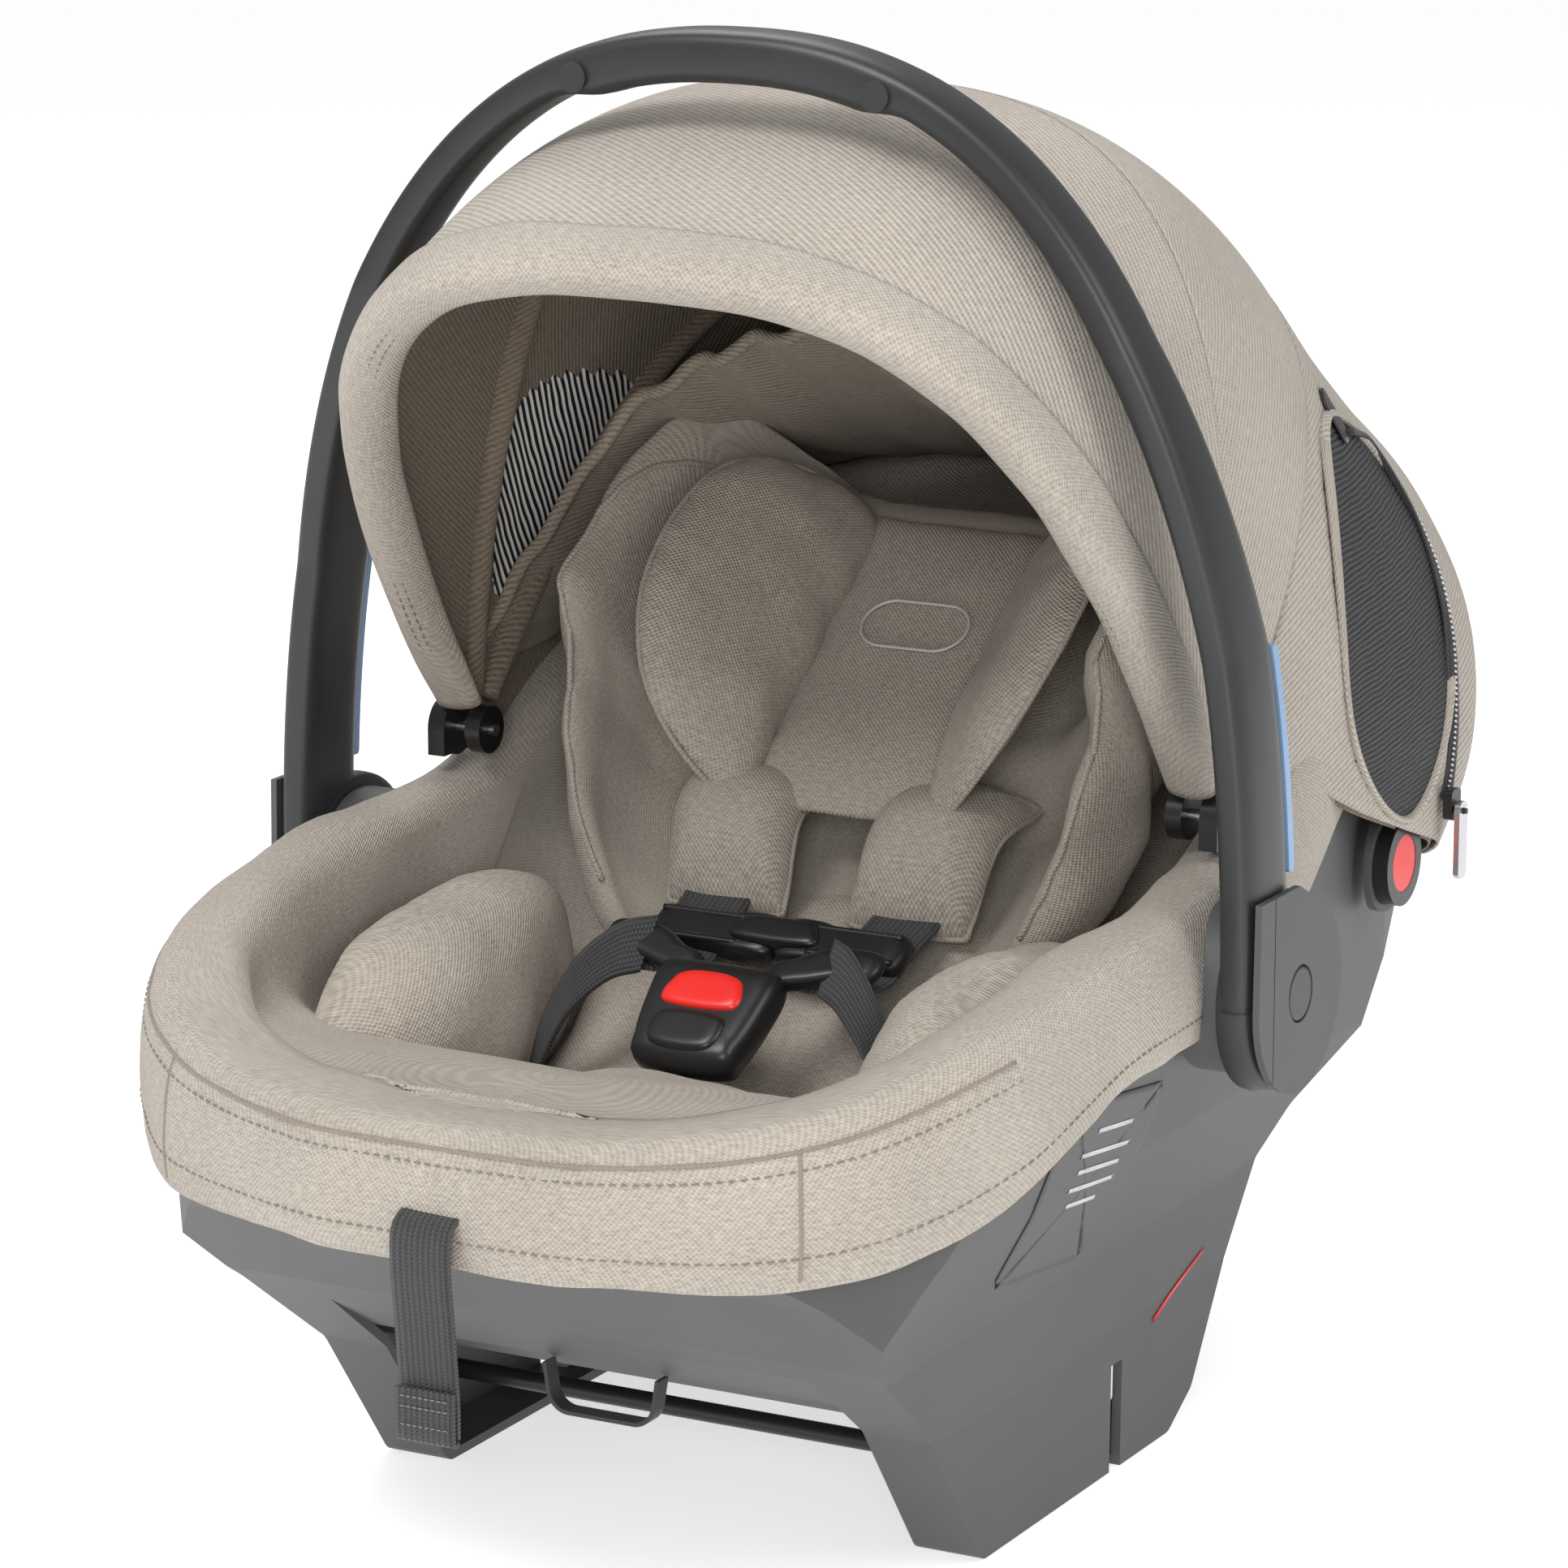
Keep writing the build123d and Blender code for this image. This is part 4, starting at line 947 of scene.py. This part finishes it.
def build_headrest():
    # the wings' cross-section on one side: (x as a share of the half-width, n)
    section_points = [(0.0, 64), (0.42, 65), (0.62, 70), (0.78, 88), (0.86, 112), (0.90, 134),
                      (0.955, 144), (1.0, 134), (1.03, 108), (1.0, 74), (0.92, 44), (0.6, 26),
                      (0.0, 26)]
    front_n = 63  # points of the section above this belong to its front face
    # (t, half-width, wing height as a share, how far the pad is drawn in)
    stations = [(103, 60, 0.00, 0.3), (106, 74, 0.03, 0.7), (114, 88, 0.10, 0.92), (130, 104, 0.30, 1),
                (152, 116, 0.60, 1), (180, 123, 0.86, 1), (215, 126, 1.0, 1), (255, 126, 1.0, 1),
                (290, 124, 0.98, 1), (316, 118, 0.9, 1), (334, 106, 0.7, 1), (345, 88, 0.42, 0.75),
                (349, 70, 0.25, 0.3)]
    rows = []
    for t, half, wing, full in catmull(stations, 70):
        shape = []
        middle = 34 + 30 * ease((t - 194) / 16)
        for share, n in section_points:
            rise = wing if share < 0.7 else max(wing, 0.0)
            height = middle + (n - 64) * rise if n > front_n else n
            shape.append((share * half, 40 + (height - 40) * min(full, 1.0)))
        right = catmull(shape, 60)
        left = right[-2:0:-1] * (-1, 1)
        ring = np.vstack([right, left])
        rows.append([on_back(x, t, n) for x, n in ring])
    rows = np.array(rows)
    ends = [np.tile(rows[k].mean(axis=0), (rows.shape[1], 1))[None] for k in (0, -1)]
    support = surface("head_support_pad", np.concatenate([ends[0], rows, ends[1]]), CUSHION,
                      around=True, weld=0.01)
    face_out(support)
    sewn(support, "headrest", 0.7, ["head_support"], (30, 2.4, 7.0), (11, 0.5, 2.0))
    edge = [on_back(s * x, t, n) for s, x, t, n in
            [(-1, 88, 116, 72), (-1, 108, 136, 88), (-1, 117, 158, 112), (-1, 121, 190, 134),
             (-1, 121, 230, 143), (-1, 119, 270, 140), (-1, 112, 296, 126), (-1, 96, 316, 102)]]
    tree = skin_of(support)
    for name, side in SIDES:
        path = snap(tree, evenly([p * (-side, 1, 1) for p in edge], 40), 0.3)
        piping = tube(f"head_support_piping_{name}", path, 1.3, CUSHION, 8, 90)
        finish(piping, "headrest")

    middle = cushion("head_pad_middle", [(-43, 172), (43, 172), (47, 200), (50, 250), (52, 322),
                                         (30, 327), (-30, 327), (-52, 322), (-50, 250), (-47, 200)],
                     back_place(0, 0, 66), 10.0, CUSHION, under=6, square=5, crown=0.55)
    sewn(middle, "headrest", 0.5, ["head_pad"], (26, 1.1, 1.0))
    lobe = [(-2, 168), (16, 168), (40, 178), (62, 198), (76, 230), (78, 268), (70, 300), (50, 320),
            (18, 327), (-2, 318), (-4, 270), (-4, 210)]
    for name, side in SIDES:
        pad = cushion(f"head_pad_lobe_{name}", lobe, back_place(47, 0, 69, 48, side), 19.0, CUSHION,
                      under=4, square=2.6, crown=0.5, dimple=0.05)
        sewn(pad, "headrest", 0.8, [], (24, 2.2, 4.0 + side), (9, 0.5, 8.0))
        edge_line = [back_place(47, 0, 69, 48, side)(u, v, 0.5) for u, v in lobe]
        piping = tube(f"head_lobe_piping_{name}", edge_line, 1.2, CUSHION, 8, 160, closed=True)
        finish(piping, "headrest")


def build_body_cushions():
    seat_outline = [(-92, -14), (-60, -20), (60, -20), (92, -14), (98, 30), (96, 90), (92, 138),
                    (70, 160), (-70, 160), (-92, 138), (-96, 90), (-98, 30)]
    back = cushion("insert_back_pad", seat_outline, back_place(0, 0, 24), 18.0, CUSHION, under=8,
                   square=5, crown=0.6)
    sewn(back, "seat", 0.5, ["body_insert"], (30, 2.5, 2.0))

    def seat_place(u, v, n):
        slope = math.radians(40)
        return np.array((u, -112 - v * math.cos(slope) - n * math.sin(slope) * 0.55,
                         112 + v * math.sin(slope) + n))

    seat = cushion("insert_seat_pad", [(-88, 0), (-60, -14), (60, -14), (88, 0), (92, 50), (86, 92),
                                       (50, 104), (-50, 104), (-86, 92), (-92, 50)], seat_place,
                   9.0, CUSHION, under=6, square=4, crown=0.6)
    sewn(seat, "seat", 0.5, [], (30, 2.5, 6.0))
    outline = [(-86, -6), (-62, -34), (-20, -46), (30, -46), (70, -34), (88, -2), (80, 30),
               (46, 44), (0, 48), (-48, 44), (-78, 24)]
    for name, side in SIDES:
        def hip_place(u, v, n, side=side):
            lean = math.radians(24)
            return np.array((side * (126 - n * math.cos(lean) + 0.20 * v), -128 + u,
                             176 + v + n * math.sin(lean) + 0.10 * u))
        pad = cushion(f"hip_cushion_{name}", outline, hip_place, 44.0, CUSHION, under=10, square=2.4,
                      crown=0.5)
        sewn(pad, "seat", 0.8, [f"hip_pad_{name}"], (34, 3.0, 3.0 + side), (12, 0.6, 1.0))


# ---------------------------------------------------------------- harness
STRAP_X = 45.0


def build_harness():
    for name, side in SIDES:
        outline = [(-27, 134), (-22, 129), (22, 129), (27, 134), (28, 165), (27, 196), (22, 201),
                   (-22, 201), (-27, 196), (-28, 165)]
        turn = math.radians(7)

        def pad_place(u, v, n, side=side):
            arc = 19 * math.sin(math.pi * (v - 129) / 72)
            x = STRAP_X + u * math.cos(turn) + (v - 165) * math.sin(turn) * 0.8
            return on_back(side * x, v, 48 + arc + n - 0.006 * u * u)

        pad = cushion(f"shoulder_pad_sewn_{name}", outline, pad_place, 14.0, CUSHION, under=8,
                      square=4.5, crown=0.6)
        sewn(pad, "seat", 0.5, [f"shoulder_pad_{name}"], (20, 1.4, 5.0 + side))
        ring = [pad_place(u * 0.99, 165 + (v - 165) * 0.99, 0.6) for u, v in outline]
        finish(tube(f"shoulder_pad_piping_{name}", ring, 1.3, CUSHION, 8, 120, closed=True), "seat")
        path = [on_back(side * x, t, n) for x, t, n in
                [(STRAP_X, 214, 30), (STRAP_X, 203, 46), (STRAP_X, 180, 52), (44, 150, 53),
                 (43, 130, 53), (42, 116, 57), (41, 104, 59.5), (40, 92, 62), (38, 80, 70),
                 (36, 70, 80)]]
        strap = ribbon(f"shoulder_webbing_{name}", path, 30, ACROSS, WEBBING)
        finish(strap, "seat", [f"shoulder_strap_{name}"])
        lap = [on_back(side * 40, 78, 86), on_back(side * 52, 70, 88), on_back(side * 66, 56, 82),
               on_back(side * 78, 40, 66), on_back(side * 86, 26, 46), on_back(side * 90, 14, 30)]
        width = [UP + 0.25 * OUT, UP + 0.3 * OUT, UP + 0.5 * OUT, UP * 0.8 + 0.6 * OUT, UP + OUT,
                 UP + OUT]
        finish(ribbon(f"lap_webbing_{name}", lap, 25, width, WEBBING), "seat",
               ["lap_straps"] if side > 0 else [])
    crotch = [(0, -150, 96), (0, -151, 120), (0, -150, 140), (0, -146, 156), (0, -140, 168)]
    finish(ribbon("crotch_webbing", crotch, 30, ACROSS, WEBBING), "seat",
           ["crotch_strap"])
    tail = [(0, -294, 180), (0, -306, 173), (0, -322, 170.5), (0, -333, 168.5), (0, -338, 163),
            (0, -338.5, 150), (0, -336.5, 132), (0, -334.5, 112), (0, -333.5, 98), (0, -333.5, 86)]
    strap = ribbon("adjuster_webbing", tail, 25, ACROSS, WEBBING, 1.8, 80)
    finish(strap, "seat", ["adjuster_strap"])
    fold = [(0, -336.6, 104), (0, -336.8, 96), (0, -336.8, 86), (0, -335.2, 83.6), (0, -333.4, 85)]
    finish(ribbon("adjuster_webbing_end", fold, 25, ACROSS, WEBBING, 1.6, 30), "seat")
    for k, z in enumerate((101, 97, 90)):
        stitches(f"strap_end_stitches_{k}", [(-10.5, -337.9, z), (0, -337.9, z), (10.5, -337.9, z)],
                 "seat", 2.6, 2.0, 0.3)


def build_crotch_pad():
    outline = [(-42, -4), (-38, -10), (38, -10), (42, -4), (44, 22), (42, 46), (34, 56), (-34, 56),
               (-42, 46), (-44, 22)]

    def place(u, v, n):
        lean = math.radians(16)
        return np.array((u, -156 - v * math.cos(lean) - n * 0.1,
                         171 + 0.45 * v * math.sin(lean) + n - 0.0022 * u * u))

    pad = cushion("crotch_pad_sewn", outline, place, 8.0, CUSHION, under=14, square=6, crown=0.45)
    sewn(pad, "seat", 0.5, ["crotch_pad"], (22, 1.6, 3.0))


def hard_pad(name, outline, place, height, material, under, square=9.0, crown=0.4):
    """A moulded piece with rounded edges over a closed outline."""
    return cushion(name, outline, place, height, material, under, square, crown, 12, 96)


def build_buckle():
    """The buckle, its red button, both tongues and the chest clip, as slim moulded pieces."""
    body = hard_pad("buckle_case", [(-18, -24), (18, -24), (24, -14), (27, 6), (27, 20), (20, 25),
                                    (-20, 25), (-27, 20), (-27, 6), (-24, -14)],
                    back_place(0, 44, 86), 10.0, BLACK, 9)
    finish(body, "seat", ["buckle_body"])
    ridge = hard_pad("buckle_ridge", [(-12, -20), (12, -20), (16, -8), (10, -3), (-10, -3), (-16, -8)],
                     back_place(0, 44, 94), 4.0, BLACK, 2)
    finish(ridge, "seat")
    button = hard_pad("buckle_red_button", [(-15, 0), (15, 0), (15.5, 12), (8, 16.5), (-8, 16.5),
                                            (-15.5, 12)], back_place(0, 44, 94.5), 3.6, RED, 3)
    finish(button, "buckle_release", ["buckle_button"])
    for name, side in SIDES:
        shape = [(16, 22), (30, 24), (46, 29), (58, 30), (62, 38), (58, 45), (38, 44), (24, 36),
                 (15, 32)]
        tongue = hard_pad(f"buckle_tongue_{name}", shape, back_place(0, 44, 83, 0, side), 5.0, BLACK,
                          3, 6)
        finish(tongue, "seat", ["buckle_tongues"] if side > 0 else [])
        half = [(1, -8), (14, -10), (36, -8), (53, -9), (57, -4), (57, 6), (52, 10), (30, 8),
                (14, 11), (1, 9)]
        clip = hard_pad(f"chest_clip_bar_{name}", half, back_place(0, 104, 62, 0, side), 6.5, BLACK,
                        4.5)
        finish(clip, "seat", [f"chest_clip_{name}"])
        for k in (-1, 1):
            rail = tube(f"chest_clip_rail_{name}_{k + 1}",
                        [back_place(0, 104, 67.6, 0, side)(u, k * 6.4, 0) for u in (16, 30, 44, 54)],
                        1.5, BLACK, 8, 24)
            finish(rail, "seat")
    latch = hard_pad("chest_clip_latch", [(-17, -5), (17, -5), (18, 4), (12, 7), (-12, 7), (-18, 4)],
                     back_place(0, 104, 67.5), 4.0, BLACK, 3, 7)
    finish(latch, "clip_release", ["chest_clip_button"])


# ---------------------------------------------------------------- carried-over hard parts
HARDWARE = {
    "shell": (SHELL, 1.2),
    "latch_rods": (BLACK, 0.6),
    "foam_liner": (FOAM, 0.0),
    "harness_yoke": (STEEL, 0.4),
    "adjuster_housing": (BLACK, 0.8),
    "adjuster_lever": (BLACK, 0.6),
    "handle_cover_left": (SHELL, 1.4),
    "handle_cover_right": (SHELL, 1.4),
    "belt_guide_left": (BLUE, 0.7),
    "belt_guide_right": (BLUE, 0.7),
    "handle_hub_left": (SHELL, 1.0),
    "handle_hub_right": (SHELL, 1.0),
    "handle_button_left": (HANDLE, 0.8),
    "handle_button_right": (HANDLE, 0.8),
    "handle_pins": (STEEL, 0.4),
    "grip_plugs": (HANDLE, 0.5),
    "canopy_sockets": (BLACK, 1.0),
    "canopy_front_knuckles": (BLACK, 0.6),
    "canopy_rivets": (STEEL, 0.5),
    "pod_collars": (SHELL, 1.0),
    "pod_caps": (BLACK, 1.6),
    "pod_discs": (RED, 0.4),
    "zipper_slider": (BLACK, 0.6),
    "zipper_pull": (STEEL, 0.5),
    "release_lever": (BLACK, 1.0),
    "release_pin": (STEEL, 0.3),
    "elastic_loop": (WEBBING, 0.0),
}


def dress_hardware():
    for name, (material, edge) in HARDWARE.items():
        node = NODES[name]
        node.data.materials.clear()
        node.data.materials.append(material)
        if edge:
            bevel = node.modifiers.new("soft_edges", "BEVEL")
            bevel.width = edge * MM
            bevel.segments = 2
            bevel.limit_method = "ANGLE"
            bevel.angle_limit = math.radians(38)
            bevel.harden_normals = False


# ---------------------------------------------------------------- small details
def projected_patch(name, tree, centre, width, height, corner, material, lift, lean=0.0):
    """A thin sticker on the shell's right-hand side: a rounded rectangle laid on the surface."""
    outline = []
    for cx, cz, start in ((1, 1, 0), (-1, 1, 90), (-1, -1, 180), (1, -1, 270)):
        for a in np.radians(np.linspace(start, start + 90, 5)):
            outline.append((cx * (width / 2 - corner) + corner * math.cos(a),
                            cz * (height / 2 - corner) + corner * math.sin(a)))
    edge = evenly(outline, 72, closed=True)
    c, s = math.cos(math.radians(lean)), math.sin(math.radians(lean))
    rows = []
    for r in np.linspace(0, 1, 12):
        ring = [(300, centre[0] + r * (u * c - v * s), centre[1] + r * (u * s + v * c))
                for u, v in edge]
        rows.append(drop_on(tree, ring, 100, (-1, 0, 0), lift))
    return surface(name, rows, material, around=True, weld=0.01, thick=0.25, grow=0.0)


def pill(width, height, count=64):
    """A closed outline of a rounded bar."""
    r = height / 2
    straight = width / 2 - r
    ends = []
    for centre, start in ((straight, -90), (-straight, 90)):
        for a in np.radians(np.linspace(start, start + 180, 12)):
            ends.append((centre + r * math.cos(a), r * math.sin(a)))
    return evenly(ends, count, closed=True)


def build_details(shell_tree, cover_tree, tent_tree):
    label = projected_patch("side_label", shell_tree, (-128, 150), 92, 74, 9, SHELL, 0.5, -8)
    finish(label, "seat")
    for k, (y, z, length) in enumerate(((-118, 172, 34), (-121, 163, 46), (-122, 156, 40),
                                        (-123, 149, 44), (-125, 142, 30))):
        bar = projected_patch(f"side_label_rule_{k}", shell_tree, (y, z), length, 1.8, 0.8, PALE,
                              0.8, -8)
        finish(bar, "seat")
    arrow = projected_patch("rear_arrow_line", shell_tree, (24, 62), 46, 1.6, 0.7, RED, 0.4, 22)
    finish(arrow, "seat")
    emblem = [on_back(u, 262 + v, 78.5) for u, v in pill(48, 25)]
    finish(tube("head_pad_emblem", emblem, 0.7, PALE, 6, 140, closed=True), "headrest")
    badge = []
    for r in np.linspace(0, 1, 6):
        ring = [(138 + r * (0.5 * u + 0.86 * v), 404 + r * (-0.86 * u + 0.5 * v))
                for u, v in pill(25, 11)]
        badge.append(on_tent_side(tent_tree, ring, 1, 0.9))
    badge = surface("canopy_tag", badge, BLACK, around=True, weld=0.01, thick=1.0, grow=0.0)
    finish(badge, "seat")
    for name, s in SIDES:
        x, y = 128 * s, -290
        corner = min(range(len(RING)), key=lambda k: (RING[k, 0] - x) ** 2 + (RING[k, 1] - y) ** 2)
        crest, hem, bulge = RING[corner, 2:5]
        path = [cover_point(corner, bulge + 4, hem + 3 + k * (crest - hem - 12)) for k in
                np.linspace(0, 1, 12)]
        seam = snap(cover_tree, path, -0.1)
        finish(tube(f"lip_corner_seam_{name}", seam, 0.8, THREAD, 8, 40), "seat")


add_camera()
add_studio()
cover = build_cover()
cover_tree = skin_of(cover)
build_cover_seams(cover_tree)
build_canopy_front()
build_canopy_mid()
build_visor()
build_bow_sleeves()
whole_tent = surface("tent_probe", tent_rows(), CANOPY)
tent_tree = skin_of(whole_tent)
bpy.data.objects.remove(whole_tent)
build_tent()
build_window_edges(tent_tree)
build_zips(tent_tree)
build_curtain()
build_handle()
build_headrest()
build_body_cushions()
build_harness()
build_crotch_pad()
build_buckle()
dress_hardware()
shell_tree = skin_of(NODES["shell"])
build_details(shell_tree, cover_tree, tent_tree)
